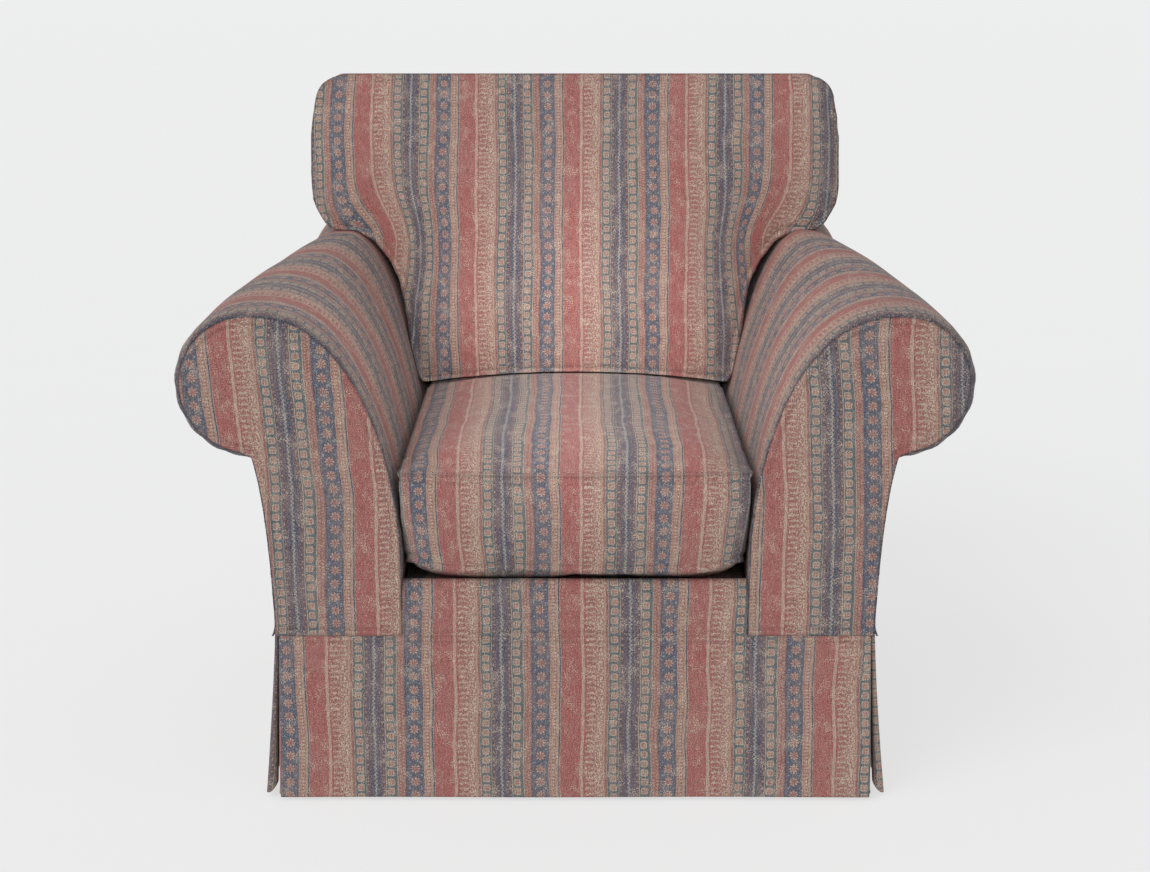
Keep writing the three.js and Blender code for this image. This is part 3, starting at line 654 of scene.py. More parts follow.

# Fine cream cracks and bleached patches, then how light each yarn is, and painted shade that darkens
# it along the seams.
crack = cotton.node("ShaderNodeTexVoronoi",
                    {"voronoi_dimensions": "2D", "feature": "DISTANCE_TO_EDGE"},
                    Vector=cotton.at(across * 2.3 + sway * 1.6, along * 2.9 + jitter * 0.5),
                    Scale=1.0)
crack = cotton.until(crack, 0.003, 0.013) * cotton.ease(patch, 0.50, 0.60)
bleach = cotton.ease(patch, 0.54, 0.68) * cotton.ease(fleck, 0.47, 0.62)
tint(crack * 0.26 + bleach * 0.60, CREAM)
tone = (0.50 + 0.46 * cotton.ease(slub, 0.32, 0.68) + 0.44 * cotton.ease(fleck, 0.35, 0.65)
        + 0.16 * weft)
near_seam = cotton.node("ShaderNodeAttribute", {"attribute_name": "seam"}).output("Fac")
# Painted shade: the cloth is darkened within 4.5 mm of each seam, where its crease is shaded, and in
# a narrow line about 10 mm in, where the groove beside the turnings is shaded.
tone = tone * cotton.ease(near_seam, 0.0155, 0.0200, 1.0, 0.72)
tone = tone * cotton.ease(abs(near_seam - 0.0105), 0.0, 0.0032, 0.86, 1.0)  # painted shadow in the groove beside the turnings beneath
shade = cotton.node("ShaderNodeVectorMath", {"operation": "SCALE"}, print_colour, Scale=tone)
weave = slub * 0.6 + weft * 0.4 + fleck * 0.3
cotton_material = cotton.done(Base_Color=shade, Roughness=0.82 + 0.14 * slub,
                              Normal=cotton.bump(weave, 0.0007, 0.7))


def lay(across, along, start, repeat=REPEAT, direction=1):
    """Cloth coordinates in repeats, with a red band's left edge at the start."""
    return grid(direction * (across - start) / repeat, along / repeat)


def finely(line, step=0.002):
    """The same line divided into short steps."""
    travelled = lengths(line, 0)
    return pick(line, travelled, np.arange(0, travelled[-1], step))


def gap_to(points, line):
    """Distance from every point of a grid to the nearest point of a line."""
    flat = points.reshape(-1, 1, points.shape[-1])
    squared = ((flat - finely(line)[None]) ** 2).sum(-1)
    return np.sqrt(squared.min(1)).reshape(points.shape[:-1])


SEAM_REACH = 0.02  # how far from a seam the cloth shows it


def nearness(gap):
    """How near a seam is: 0.02 on it, falling to nothing 20 mm away."""
    return np.maximum(0, SEAM_REACH - gap)


def bell(away, width):
    """One in the middle and falling away on both sides, as the exponential of minus a square."""
    return np.exp(-(away / width) ** 2)


# ---------------------------------------------------------------------------------------------
# The arms. One width of cloth goes up the inside of each arm, over the roll, under it and down
# the outside. A flat scroll-shaped panel closes the front, its edge turned over the seam.

SEAM = 0.227  # height of the seam that the skirt hangs from
COVER_WALL = 0.0018


def cover(name, panels, away_from, node, wall=COVER_WALL):
    """Sews a piece of the loose cover, which stands for one node."""
    return sew(name, panels, away_from, cotton_material, [node], wall)


for side, s in SIDES:
    behind = np.concatenate([[0, 0.0007, 0.002, 0.004, 0.007, 0.011, 0.016],
                             np.linspace(0.022, ARM_REACH, 94)])
    x, z = arm_section(behind)
    girth = lengths(grid(x, z), 1)
    d = behind[:, None] + 0 * girth
    down = girth[:, -1:] - girth
    pucker = np.sin(2 * np.pi * girth / 0.034 + 2.2 * ripple(girth, d, 0.2, 11))
    push = (0.0012 * pucker * np.exp(-d / 0.022) * np.minimum(d / 0.004, 1)
            + 0.0022 * ripple(girth, d, 0.22, 12 + s) * np.minimum(d / 0.05, 1)
            + (0.0035 + 0.0010 * np.exp(-d / 0.02)) * np.exp(-down / 0.008)
            - 0.0010 * bell(down - 0.020, 0.012))
    x, z = arm_section(behind, -push)
    wrap = grid(s * x, arm_depth(z, d), z)
    uv = lay(d, girth, 0.072 if s < 0 else 0.083, 0.163, -s)
    piece = cover(f"{side}_arm_over", [(wrap, uv, nearness(np.minimum(d, down)))],
                  (s * 0.32, -0.05, 0.45), f"{side}_arm_cover")

    x, z = (line[0] for line in arm_section(0.0, 0.0, SEAM, SEAM))
    top = int(np.argmax(z))
    outline = grid(x, z)
    inner, outer = outline[:top + 1], outline[:top - 1:-1]
    rows = np.unique(np.concatenate([outer[:, 1], np.linspace(SEAM, 0.47, 40)]))
    inner_x, outer_x = (np.interp(rows, edge[:, 1], edge[:, 0])[:, None] for edge in (inner, outer))
    flat = grid(inner_x + (outer_x - inner_x) * np.linspace(0, 1, 44), rows[:, None])
    x, z = flat[..., 0], flat[..., 1]
    gap = np.minimum(gap_to(flat, outline), z - SEAM)
    puff = (0.0030 * (1 - np.exp(-gap / 0.020)) + 0.0015 * bell(gap - 0.0045, 0.003)
            - 0.0014 * bell(gap - 0.0100, 0.0025) - 0.0010
            + 0.0008 * ripple(x, z, 0.12, 20 + s) + 0.0018 * np.exp(-(z - SEAM) / 0.006))
    uv = lay(s * x + 0.012 * np.clip((z - 0.42) / 0.2, 0, 1), z, -0.283 if s < 0 else 0.2416)
    piece = cover(f"{side}_arm_front", [(grid(s * x, FRONT - puff, z), uv, nearness(gap))],
                  (s * 0.32, 0.5, 0.45), f"{side}_arm_front_panel")

# ---------------------------------------------------------------------------------------------
# The border under the seat cushion turns over the padded front edge and runs back under the
# cushion as plain deck cloth. The border's stripes carry on into the skirt.

path = even([(-0.4325, 0.2235), (-0.4318, 0.240), (-0.4312, 0.268), (-0.4302, 0.2880),
             (-0.4262, 0.2975), (-0.4180, 0.3005), (-0.4000, 0.2930)], 46)
BORDER_HALF = 0.2243
SEAT_PRINT = -0.0185  # where the red band begins that runs down the middle of the front
share = np.linspace(-1, 1, 90)
across, row = np.meshgrid(BORDER_HALF * share, np.arange(len(path)))
back, rise = path[row, 0], path[row, 1]
from_end = BORDER_HALF - abs(across)
forward = 0.0012 * np.minimum(from_end / 0.02, 1) * ripple(across, rise, 0.10, 31)
gap = np.minimum(from_end, abs(rise - SEAM) + 0.004)
border = (grid(across, back + forward, rise), lay(across, rise, SEAT_PRINT), nearness(gap))
piece = cover("seat_border", [border], (0, 0, 0.26), "front_border")

across, back = np.meshgrid(0.2225 * share, np.linspace(-0.398, 0.204, 80))
deck = grid(across, back, 0.2905 + 0.0006 * ripple(across, back, 0.1, 32))
piece = cover("seat_deck", [(deck, lay(across, back, SEAT_PRINT), 0 * across)], (0, 0, 0),
              "deck_cloth", 0.0015)

# ---------------------------------------------------------------------------------------------
# The back. Its inside panel lies behind the cushion, a strip crosses the top and sides, and one
# plain panel covers the outside down to the skirt.

OUTSIDE_RAKE = np.tan(np.radians(7))


def outside_back(z):
    """How far back the outside of the back is at a height."""
    return 0.3944 + (z - SEAT_TOP) * OUTSIDE_RAKE


BACK_PRINT = -0.0167  # where the red band begins that runs up the middle of the back
lower, upper, _ = tee(*inside_back_edges(0.0), 0.016)
panels = [(stand(flat, inside_back, 0.0008), lay(flat[..., 0], flat[..., 1], BACK_PRINT),
           0 * flat[..., 0]) for flat in (lower, upper)]
piece = cover("inside_back", panels, (0, 5, 0.5), "inside_back_cover", 0.0016)

turn = np.linspace(-np.radians(48), np.arccos(0.041 / 0.076), 30)
bend = np.linspace(0, np.pi / 2, 12)
half = np.concatenate([grid(0.390, np.linspace(SEAM, 0.530, 30)),
                       grid(0.344 + 0.076 * np.cos(turn), 0.600 + 0.076 * np.sin(turn)),
                       grid(0.385, np.linspace(0.668, 0.806, 14)),
                       grid(0.345 + 0.040 * np.cos(bend), 0.810 + 0.040 * np.sin(bend))])
half[:, 1] = np.maximum.accumulate(half[:, 1] + 1e-6 * np.arange(len(half)))
share = np.linspace(-1, 1, 70)
flat = grid(half[:, :1] * share, half[:, 1:])
x, z = flat[..., 0], flat[..., 1]
rim = np.concatenate([half, (half * MIRROR)[::-1]])
gap = np.minimum(gap_to(flat, rim), z - SEAM)
puff = (0.007 * (1 - np.exp(-gap / 0.05)) - 0.0008 * bell(gap - 0.009, 0.003)
        + 0.0016 * ripple(x, z, 0.2, 41) + 0.0025 * np.exp(-(z - SEAM) / 0.008))
panel = (grid(x, outside_back(z) - 0.001 + puff, z), lay(-x, z, SEAT_PRINT), nearness(gap))
piece = cover("outside_back_panel", [panel], (0, -5, 0.5), "outside_back")


def outwards(outline):
    """The outward direction at each point of an outline that runs anticlockwise."""
    heading = np.gradient(outline, axis=0)
    return grid(heading[:, 1], -heading[:, 0]) / np.linalg.norm(heading, axis=1, keepdims=True)


edge = np.concatenate([finely(rim, 0.007), rim[-1:]])
travelled, share = np.meshgrid(lengths(edge, 0), np.linspace(0, 1, 22))
bulge = (0.005 * np.sin(np.pi * share) ** 0.7 - 0.0006
         + 0.001 * ripple(travelled, share * 0.15, 0.14, 42))
ring = edge + outwards(edge) * bulge[..., None]
front_line, rear_line = inside_back(edge[:, 1]), outside_back(edge[:, 1]) - 0.001
depth = front_line + (rear_line - front_line) * share
gap = np.minimum(depth - front_line, rear_line - depth)
strip = (grid(ring[..., 0], depth, ring[..., 1]), lay(travelled, depth, 0.05), nearness(gap))
piece = cover("back_side_strip", [strip], (0, 0.35, 0.5), "back_gusset")

# ---------------------------------------------------------------------------------------------
# The skirt hangs from the seam to just above the floor, lined and a little flared. Its four
# panels fold back at the corners, where an underlay closes each inverted pleat.

SKIRT_TOP = 0.2325
HEM = 0.006
SKIRT_WALL = 0.0026
drop = np.concatenate([np.linspace(0, 0.012, 5), np.linspace(0.018, SKIRT_TOP - HEM, 40)])
fall = np.clip((drop - 0.006) / (SEAM - HEM), 0, 1)[:, None]
height = (SKIRT_TOP - drop)[:, None]
tuck = 0.0030 * np.clip((0.0065 - drop) / 0.004, 0, 1)[:, None]


def folded(reach, half, radius):
    """A panel whose end turns back on itself round a half circle at its half-width.

    Returns how far across each point is, and how far behind the panel's face.
    """
    past = np.maximum(abs(reach) - half + radius, 0)
    turned = np.minimum(past / radius, np.pi)
    back = np.maximum(past - np.pi * radius, 0)
    across = np.minimum(abs(reach), half - radius) + radius * np.sin(turned) - back
    return np.sign(reach) * across, radius * (1 - np.cos(turned))


def reaches(half, turn_back):
    """Steps across a panel: wide in its middle, fine round its folded ends."""
    end = np.linspace(half - 0.016, half + turn_back, 46)
    middle = np.linspace(-half + 0.016, half - 0.016, round(half / 0.005))[1:-1]
    return np.concatenate([-end[::-1], middle, end])[None, :]


def hang(name, x, y, reach, start, direction, node, rise=0.0):
    """Sews a skirt panel, with its print running down from the seam."""
    z = height + rise + 0 * x
    uv = lay(reach, z, start, REPEAT, direction)
    near = nearness(abs(z - SEAM + 0.0005) + 0.002)
    piece = cover(name, [(grid(x, y, z), uv, near)], (0, 0, 0.12), node, SKIRT_WALL)


for end, out, plane, seed in (("front", -1, -0.4335, 51), ("back", 1, 0.3690, 52)):
    reach = reaches(0.388, 0.022)
    x, behind = folded(reach + 0 * fall, 0.3852 + 0.0052 * fall - 0.0015 * fall ** 12, 0.0026)
    wave = 0.0022 * ripple(reach + 0 * fall, 0.4 * height + 0 * reach, 0.26, seed) * fall
    y = plane + out * (0.0105 * fall ** 1.15 + wave - tuck - behind)
    hang(f"{end}_skirt", x, y, reach, SEAT_PRINT, -out, f"skirt_{end}")

for side, s in SIDES:
    reach = reaches(0.398, 0.026)
    half = 0.3950 + 0.0050 * fall
    radius = 0.0030 + 0.0044 * fall ** 2
    along_side, behind = folded(reach + 0 * fall, half, radius)
    wave = 0.0028 * ripple(reach + 0 * fall, 0.4 * height + 0 * reach, 0.24, 53 + s) * fall
    lift = 0.0195 * fall ** 1.25 * (0.72 + 0.28 * np.clip((abs(reach) - 0.25) / 0.14, 0, 1))
    x = s * (0.3915 + lift + wave - tuck - behind)
    rise = 0.012 * (behind / (2 * radius)) ** 2 * fall ** 14
    hang(f"{side}_skirt", x, along_side - 0.0315, reach, 0.03, s, f"skirt_{side}",
         rise)

    for end, out, plane in (("front", -1, -0.4265), ("rear", 1, 0.3620)):
        leg, bend = 0.085, 0.008
        run = np.concatenate([np.linspace(-leg, -bend, 16)[:-1], np.linspace(-bend, bend, 12),
                              np.linspace(bend, leg, 16)[1:]])[None, :]
        angle = np.clip(run / bend, -1, 1) * np.pi / 4 + np.pi / 4
        corner_x = (0.3835 + 0.0095 * fall ** 1.2) - bend
        corner_y = out * (abs(plane) + 0.0060 * fall ** 1.2 - bend)
        x = corner_x + bend * np.sin(angle) - np.maximum(-run - bend, 0)
        y = corner_y + out * (bend * np.cos(angle) - np.maximum(run - bend, 0))
        z = height - 0.0070 + 0.010 * (1 - fall)
        under = (grid(s * x, y, np.maximum(z, HEM)), lay(run, z, 0.05), 0 * x)
        piece = cover(f"{side}_{end}_underlay", [under], (0, 0, 0.12),
                      f"{side}_{end}_pleat_underlay")

# ---------------------------------------------------------------------------------------------
# The two loose cushions have foam cores wrapped in wadding, inside covers with a boxing strip
# all round. The seams stay where they are sewn, and the filling swells the cloth between them.

FACE_LOW, FACE_HIGH = 0.265, 0.640  # heights between which the arm's inner face stands
TOP_NEAR, TOP_FAR = 0.26, 0.43  # distances from the middle between which the arm's top lies
INNER_POINTS, TOP_POINTS = 40, 60  # how many points of the arm's section each of them ends at
CLEARANCE = 0.001  # gap left between a cushion and an arm
xs, zs = arm_section(np.linspace(0, ARM_REACH, 46))
arm_faces = np.stack([np.interp(np.linspace(FACE_LOW, FACE_HIGH, 60), z[:INNER_POINTS],
                                x[:INNER_POINTS]) for x, z in zip(xs, zs)])
arm_tops = np.stack([np.interp(np.linspace(TOP_NEAR, TOP_FAR, 60), x[:TOP_POINTS],
                               z[:TOP_POINTS]) for x, z in zip(xs, zs)])


def look_up(table, row, column):
    """Reads a table between its entries, from a share of its rows and of its columns."""
    r, c = (np.clip(share, 0, 1) * (size - 1.001) for share, size in zip((row, column), table.shape))
    i, j = r.astype(int), c.astype(int)
    r, c = r - i, c - j
    return ((table[i, j] * (1 - r) + table[i + 1, j] * r) * (1 - c)
            + (table[i, j + 1] * (1 - r) + table[i + 1, j + 1] * r) * c)


def clear_of_arms(spots):
    """Keeps a cushion's points 1 mm clear of the arms beside it and under its ears."""
    x, y, z = spots.T
    share = (y - FRONT) / (inside_back(z) - FRONT)
    face = look_up(arm_faces, share, (z - FACE_LOW) / (FACE_HIGH - FACE_LOW)) - CLEARANCE
    beside = (z < FACE_HIGH) & (y > FRONT)
    x = np.where(beside, np.sign(x) * np.minimum(abs(x), face), x)
    lie = look_up(arm_tops, share, (abs(x) - TOP_NEAR) / (TOP_FAR - TOP_NEAR)) + CLEARANCE
    over = (abs(x) > 0.29) & (z > 0.61) & (z < 0.72)
    return grid(x, y, np.where(over, np.maximum(z, lie), z))


def read(mesh, name="co"):
    """Places or normals of a mesh's points, as an array."""
    values = np.empty(len(mesh.vertices) * 3)
    mesh.vertices.foreach_get(name, values)
    return values.reshape(-1, 3)


def write(mesh, spots):
    """Moves a mesh's points."""
    mesh.vertices.foreach_set("co", spots.astype(np.float32).ravel())
    mesh.update()


def from_seam(mesh):
    """Distance of every point from the nearest seam, up to 20 mm."""
    near = np.empty(len(mesh.vertices))
    mesh.attributes["seam"].data.foreach_get("value", near)
    return SEAM_REACH - near


ON_SEAM = 0.0005  # a point nearer than this is sewn
FRAMES = 20  # how long the filling pushes


def swell(piece, held, cap):
    """Inflates a cushion's cover as cloth for those frames, with the held points pinned.

    No point ends further than the cap from where it was cut.
    """
    mesh = piece.data
    pins = piece.vertex_groups.new(name="held")
    pins.add(np.flatnonzero(held).tolist(), 1.0, "REPLACE")
    cloth = piece.modifiers.new("swell", "CLOTH")
    for setting, value in {"quality": 5, "mass": 0.3, "tension_stiffness": 15,
                           "compression_stiffness": 15, "shear_stiffness": 5,
                           "bending_stiffness": 0.6, "use_pressure": True,
                           "uniform_pressure_force": 4.0, "shrink_min": -0.008,
                           "vertex_group_mass": "held"}.items():
        setattr(cloth.settings, setting, value)
    cloth.settings.effector_weights.gravity = 0.0
    cloth.point_cache.frame_start = 1
    cloth.point_cache.frame_end = FRAMES
    for step in range(1, FRAMES + 1):
        bpy.context.scene.frame_set(step)
    swollen = piece.evaluated_get(bpy.context.evaluated_depsgraph_get()).data
    start = read(mesh)
    move = read(swollen) - start
    piece.modifiers.remove(cloth)
    piece.vertex_groups.remove(pins)
    bpy.context.scene.frame_set(1)
    far = np.linalg.norm(move, axis=1, keepdims=True) + 1e-9
    write(mesh, start + move / far * cap * np.tanh(far / cap))


def finish_cushion(piece):
    """Subdivides a cushion once and presses its seams in, with a slight ridge on each."""
    mesh = piece.data
    ends = np.empty(len(mesh.edges) * 2, int)
    mesh.edges.foreach_get("vertices", ends)
    sewn = (from_seam(mesh)[ends.reshape(-1, 2)] < ON_SEAM).all(1)
    crease = mesh.attributes.new("crease_edge", "FLOAT", "EDGE")
    crease.data.foreach_set("value", (0.6 * sewn).astype(np.float32))
    finer = piece.modifiers.new("finer", "SUBSURF")
    finer.levels = finer.render_levels = 1
    fine = bpy.data.meshes.new_from_object(
        piece.evaluated_get(bpy.context.evaluated_depsgraph_get()))
    piece.modifiers.remove(finer)
    piece.data = fine
    gap = from_seam(fine)
    ridge = 0.0022 * bell(gap, 0.0028) - 0.0020 * bell(gap - 0.0080, 0.0035)
    write(fine, clear_of_arms(read(fine) + read(fine, "normal") * ridge[:, None]))
    fine.shade_smooth()


# The seat cushion: a box whose front corners are pointed above and rounded below.
STEPS = (28, 76, 28)  # points along half its front, along a side, and along half its rear


def loop_of(*edges):
    """A closed outline in plan from its right half: half the front, the side, half the rear."""
    front, side, rear = (even(edge, n) for edge, n in zip(edges, STEPS))
    half = np.concatenate([front, side[1:], rear[1:]])
    return np.concatenate([half, (half * MIRROR)[::-1][1:]])


SEAT_CORNER = (0.2262, -0.4378)  # the pointed front corner
top_loop = loop_of([(0, -0.4370), (0.15, -0.4370), (0.212, -0.4365), SEAT_CORNER],
                   [SEAT_CORNER, (0.2245, -0.424), (0.2225, -0.38), (0.2215, -0.10),
                    (0.2205, 0.120), (0.2185, 0.195), (0.2130, 0.205)],
                   [(0.2130, 0.205), (0.17, 0.2085), (0, 0.2090)])
low_loop = loop_of([(0, -0.4300), (0.12, -0.4300), (0.194, -0.4290), (0.2135, -0.4200)],
                   [(0.2135, -0.4200), (0.2190, -0.400), (0.2195, -0.33), (0.2180, -0.10),
                    (0.2160, 0.120), (0.2135, 0.190), (0.205, 0.203)],
                   [(0.205, 0.203), (0.17, 0.2060), (0, 0.2065)])
front_half = np.clip((-0.30 - top_loop[:, 1]) / 0.137, 0, 1)
top_height = SEAT_TOP - 0.0045 * front_half * (1 - (top_loop[:, 0] / SEAT_CORNER[0]) ** 2)
corner_gap = np.hypot(abs(top_loop[:, 0]) - SEAT_CORNER[0], top_loop[:, 1] - SEAT_CORNER[1])
low_height = 0.3000 + 0.0125 * front_half + 0.0130 * bell(corner_gap, 0.036)


def crowned(gap, ease_in):
    """How much of its crown a panel has at a distance from its seam: none on it, then nearly all."""
    return 1 - np.exp(-(gap / ease_in) ** 1.3)


def plan_panel(loop, rim_height, crown, ease_in):
    """Fills a closed outline in plan, with its height blended in from the rim, and crowns it."""
    m, n, k = STEPS
    rim = grid(loop[:, 0], loop[:, 1], rim_height)
    side = rim[m - 1:m + n - 1]
    filled = coons(np.concatenate([rim[-m:], rim[1:m]]),
                   rim[m + n - 2:m + n + 2 * k - 3][::-1], side * (-1, 1, 1), side)
    gap = gap_to(filled[..., :2], loop)
    filled[..., 2] += crown * crowned(gap, ease_in)
    return filled, gap


def laid_flat(panel):
    """The print on a cushion's top or bottom, lined up with its boxing."""
    return lay(panel[..., 0], panel[..., 1], SEAT_PRINT, CUSHION_REPEAT)


def round_from_middle(loop):
    """Distance round a closed outline from its start, negative on the way that it closes."""
    travelled = lengths(loop, 0)
    return np.where(travelled > travelled[-1] / 2, travelled - travelled[-1], travelled)


CUSHION_REPEAT = 0.1585
top_panel, top_gap = plan_panel(top_loop, top_height, 0.018, 0.045)
low_panel, low_gap = plan_panel(low_loop, low_height, -0.0055, 0.03)
share = np.linspace(0, 1, 20)[:, None]
side_xy = top_loop * (1 - share[..., None]) + low_loop * share[..., None]
side_z = top_height * (1 - share) + low_height * share
out = outwards(top_loop)
belly = 0.004 * np.sin(np.pi * share) * np.where(abs(out[:, 0]) > 0.9, 0.3, 1.0)
side_xy += belly[..., None] * out
boxing = grid(side_xy[..., 0], side_xy[..., 1], side_z)
boxing_uv = lay(round_from_middle(top_loop), side_z, SEAT_PRINT, CUSHION_REPEAT)
boxing_gap = np.minimum(side_z - low_height, top_height - side_z)
seat = cover("seat_cushion_cover",
             [(top_panel, laid_flat(top_panel * (1, 1.02, 1) + (0, 0.88, 0)), nearness(top_gap)),
              (boxing, boxing_uv, nearness(boxing_gap)),
              (low_panel, laid_flat(low_panel), nearness(low_gap))],
             (0, -0.1, 0.37), "seat_cushion", 0)
swell(seat, from_seam(seat.data) < ON_SEAM, 0.016)
finish_cushion(seat)

# It is pressed down at the rear, where the back cushion stands on it, and flat on the deck.
spots = read(seat.data)
x, y, z = spots.T
under_back = np.clip((y - 0.005) / 0.065, 0, 1) ** 0.7
limit = 0.4555 - 0.013 * (x / 0.225) ** 2
z = np.where(z > 0.40, np.minimum(z, limit * under_back + (1 - under_back) * 0.5), z)
write(seat.data, grid(x, y, np.maximum(z, 0.2925)))

# The back cushion: a T that stands on the seat cushion, with ears that lie over the arms.
CUSHION_DEPTH = 0.148
lower, upper, outline = tee(
    [(0, 0.4610), (0.09, 0.4590), (0.165, 0.4530), (0.214, 0.4470), (0.2300, 0.4460)],
    [(0.2300, 0.4460), (0.2435, 0.4640), (0.2480, 0.495), (0.2525, 0.525), (0.2630, 0.584),
     (0.2810, 0.626), (0.3060, 0.658)],
    [(0.3060, 0.658), (0.318, 0.666), (0.332, 0.6705), (0.348, 0.6700), (0.362, 0.6735),
     (0.3750, 0.680)],
    [(0.3750, 0.680), (0.3930, 0.705), (0.4000, 0.733), (0.4015, 0.778), (0.4000, 0.820),
     (0.3930, 0.871), (0.3840, 0.889)],
    [(0.3840, 0.889), (0.3660, 0.9000), (0.3260, 0.9045), (0.20, 0.9050), (0, 0.9050)], 0.0085)


def cushion_front(z):
    """How far back the front seam plane of the back cushion is at a height."""
    return 0.097 + (z - SEAT_TOP) * RAKE


def cushion_rear(z):
    """How far back its rear is at a height."""
    return cushion_front(z) + CUSHION_DEPTH


def gathered(flat):
    """Cloth coordinates of the front: the neck between the arms draws the stripes inwards."""
    x, z = flat[..., 0], flat[..., 1]
    pull = 0.044 * bell(abs(x) - 0.300, 0.062) * bell(z - 0.655, np.where(z > 0.655, 0.055, 0.095))
    return lay(x + np.sign(x) * pull, z, BACK_PRINT, CUSHION_REPEAT)


faces = []
for flat in (lower, upper):
    gap = gap_to(flat, outline)
    faces.append((stand(flat, cushion_front, 0.016 * crowned(gap, 0.045)), gathered(flat),
                  nearness(gap)))
for flat in (lower, upper):
    faces.append((stand(flat, cushion_rear), lay(flat[..., 0], flat[..., 1], 0.05, CUSHION_REPEAT),
                  nearness(gap_to(flat, outline))))
share = np.linspace(0, 1, 19)[:, None]
boxing_y = cushion_front(outline[:, 1]) + CUSHION_DEPTH * share
faces.append((grid(outline[:, 0], boxing_y, outline[:, 1]),
              lay(round_from_middle(outline), boxing_y, BACK_PRINT, CUSHION_REPEAT),
              nearness(CUSHION_DEPTH * np.minimum(share, 1 - share) + 0 * boxing_y)))
back = cover("back_cushion_cover", faces, (0, 0.22, 0.68), "back_cushion", 0)
spots = read(back.data)
behind = spots[:, 1] > cushion_rear(spots[:, 2]) - 0.001
swell(back, (from_seam(back.data) < ON_SEAM) | behind, 0.018)
finish_cushion(back)

# Its foot is pressed onto the seat cushion, its rear stays in front of the inside back, and its
# boxing falls away behind the front seam along the top.
spots = read(back.data)
x, y, z = spots.T
floor_of_cushion = 0.4635 - 0.0145 * (x / 0.225) ** 2
z = np.where(z < 0.50, np.maximum(z, np.minimum(floor_of_cushion, z + 0.02)), z)
past_seam = np.maximum(y - cushion_front(z), 0)
z = np.minimum(z, 0.9055 - 0.05 * past_seam - 0.9 * past_seam ** 2)
x = np.where(z > 0.69, np.clip(x, -0.4020, 0.4020), x)
write(back.data, grid(x, np.minimum(y, inside_back(z) - 0.0015), z))

# ---------------------------------------------------------------------------------------------
# Four tapered legs with nylon glides stand under the corners, behind the skirt, and a thin
# black cloth is stapled under the seat frame.

coat(timber("stained_wood", "Z", paint(92, 60, 42), paint(62, 38, 26), 0.0002, Coat_Weight=0.3,
            Coat_Roughness=0.3),
     *[f"{corner}_leg" for corner in CORNERS])

nylon = Recipe("nylon", Specular_IOR_Level=0.5)
where = nylon.place()
scuff = nylon.noise(where, 160.0, 4.0, 0.7, "3D")
coat(nylon.done(Base_Color=nylon.mix(nylon.ease(scuff, 0.5, 0.7) * 0.6, paint(216, 212, 202),
                                     paint(150, 144, 132)),
                Roughness=0.3 + 0.4 * scuff, Normal=nylon.bump(scuff, 0.0003)),
     *[f"{corner}_glide" for corner in CORNERS])

dust = Recipe("black_cloth", Roughness=0.95)
across, along = dust.place_on_cloth()
spun = dust.noise(dust.at(across * 900.0, along * 900.0), 1.0, 3.0, 0.7)
fluff = dust.noise(dust.at(across * 24.0, along * 24.0), 1.0, 4.0, 0.7)
dust_colour = dust.mix(spun, paint(22, 22, 24), paint(48, 47, 48))
dust_colour = dust.mix(dust.ease(fluff, 0.5, 0.75) * 0.35, dust_colour, paint(110, 104, 96))
dust_material = dust.done(Base_Color=dust_colour, Normal=dust.bump(spun, 0.0004))

low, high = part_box("dust_cover")
leg_low, leg_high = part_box("right_front_leg")
notch_x = leg_low.x - 0.002
notch_y = leg_high.y + 0.002
rear_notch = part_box("right_rear_leg")[0].y - 0.002
panels = []
for x0, x1, y0, y1 in ((-notch_x, notch_x, low.y, notch_y), (low.x, -notch_x, notch_y, rear_notch),
                       (-notch_x, notch_x, notch_y, rear_notch),
                       (notch_x, high.x, notch_y, rear_notch),
                       (-notch_x, notch_x, rear_notch, high.y)):
    x, y = np.meshgrid(np.linspace(x0, x1, 31), np.linspace(y0, y1, 31))
    sag = 0.004 * np.cos(np.pi * np.clip(x / 0.36, -0.5, 0.5)) * np.cos(
        np.pi * np.clip((y + 0.03) / 0.80, -0.5, 0.5)) + 0.0006 * ripple(x, y, 0.08, 61)
    panels.append((grid(x, y, low.z + 0.0008 - sag), grid(x, y), 0 * x))
piece = sew("underside_cloth", panels, (0, 0, 1), dust_material, ["dust_cover"],
            0.0007)

# ---------------------------------------------------------------------------------------------
# The setting: a wide pale floor, an even pale sky, a broad soft sun from the left, soft boxes
# and a spot towards the seat, and the camera in front, a little above the top of the back.

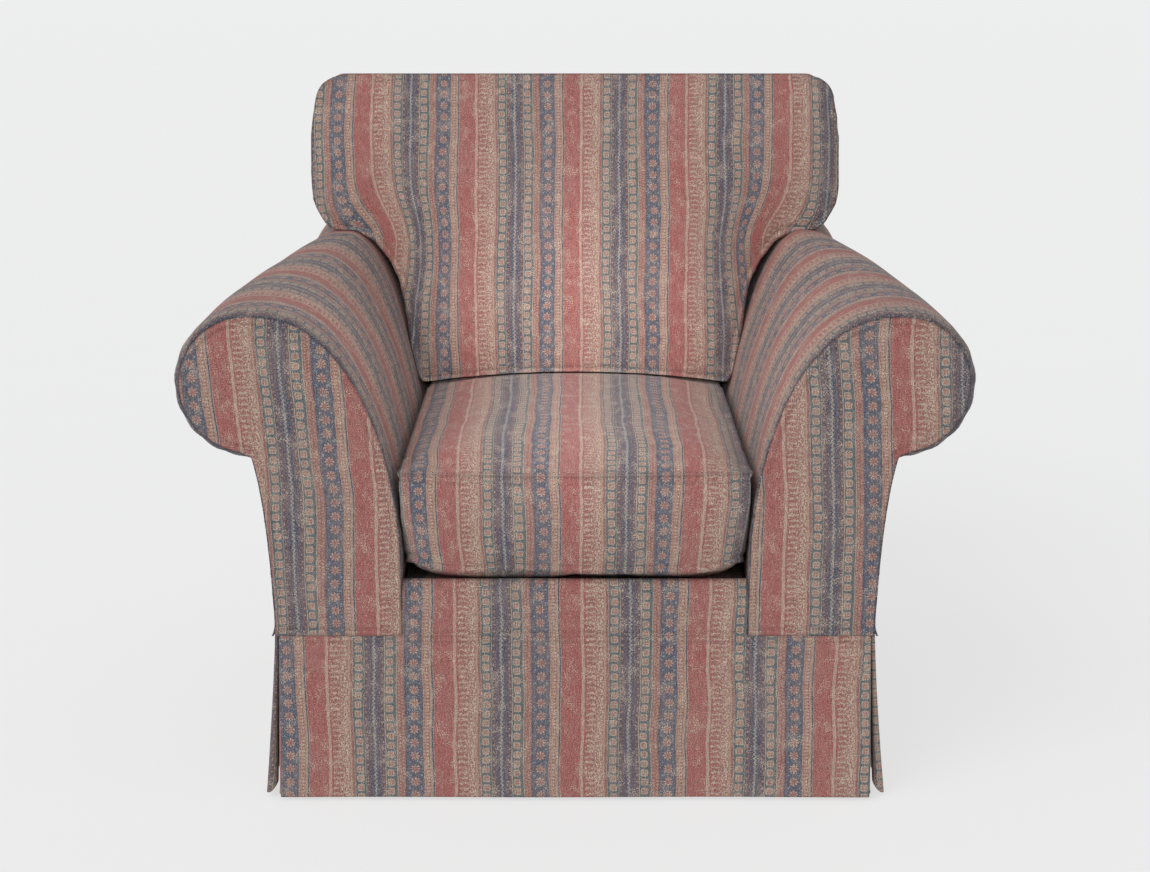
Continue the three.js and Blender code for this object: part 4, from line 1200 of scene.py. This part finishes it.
floor_paint = Recipe("floor_paint", Roughness=0.9, Emission_Color=(1.0, 1.0, 1.0, 1.0),
                     Emission_Strength=0.66)
grain = floor_paint.noise(floor_paint.place(), 3.0, 2.0, 0.5, "3D")
floor_colour = floor_paint.mix(grain, (0.235, 0.235, 0.235, 1.0), (0.245, 0.245, 0.245, 1.0))
turn = np.linspace(0, 2 * np.pi, 97)[:-1]
FLOOR_RADIUS = 60
floor_mesh = bpy.data.meshes.new("floor")
floor_mesh.from_pydata(grid(FLOOR_RADIUS * np.cos(turn), FLOOR_RADIUS * np.sin(turn), 0).tolist(),
                       [], [list(range(len(turn)))])
floor_mesh.materials.append(floor_paint.done(Base_Color=floor_colour))
put("floor", floor_mesh)

sky = bpy.data.worlds.new("sky")
sky.use_nodes = True
tree = sky.node_tree
seen, lit = tree.nodes["Background"], tree.nodes.new("ShaderNodeBackground")
for background, colour, strength in ((seen, (1.0, 1.0, 1.0, 1.0), 0.86),
                                     (lit, (0.97, 0.985, 1.0, 1.0), 0.46)):
    background.inputs["Color"].default_value = colour
    background.inputs["Strength"].default_value = strength
choose = tree.nodes.new("ShaderNodeMixShader")
path = tree.nodes.new("ShaderNodeLightPath")
tree.links.new(path.outputs["Is Camera Ray"], choose.inputs[0])
tree.links.new(lit.outputs[0], choose.inputs[1])
tree.links.new(seen.outputs[0], choose.inputs[2])
tree.links.new(choose.outputs[0], tree.nodes["World Output"].inputs["Surface"])
bpy.context.scene.world = sky


def lamp(name, kind, energy, location, rotation, **settings):
    """A light that the camera doesn't see, turned by degrees about X, Y and Z."""
    light = bpy.data.lights.new(name, kind)
    light.energy = energy
    for setting, value in settings.items():
        setattr(light, setting, value)
    holder = put(name, light)
    holder.location = location
    holder.rotation_euler = np.radians(rotation)
    holder.visible_camera = False


lamp("key_sun", "SUN", 1.10, (-3, -3, 4), (36, -38, 0), angle=np.radians(40))
lamp("top_box", "AREA", 0.8, (-0.35, -0.60, 1.62), (22, -14, 0), shape="DISK", size=0.8)
lamp("seat_fill", "AREA", 0.70, (-0.02, -0.47, 0.80), (84, 0, 0), shape="DISK", size=0.4)
lamp("back_spot", "SPOT", 90, (0, -1.75, 1.0), (75, 0, 0), spot_size=np.radians(17),
     spot_blend=1.0, shadow_soft_size=0.15)

eye = bpy.data.cameras.new("eye")
eye.lens = 63.58
eye.sensor_width = 36.0
camera = put("eye", eye)
camera.location = (0, -2.932, 1.118)
camera.rotation_euler = (np.radians(76), 0, 0)
bpy.context.scene.camera = camera
bpy.context.scene.view_settings.view_transform = "Standard"
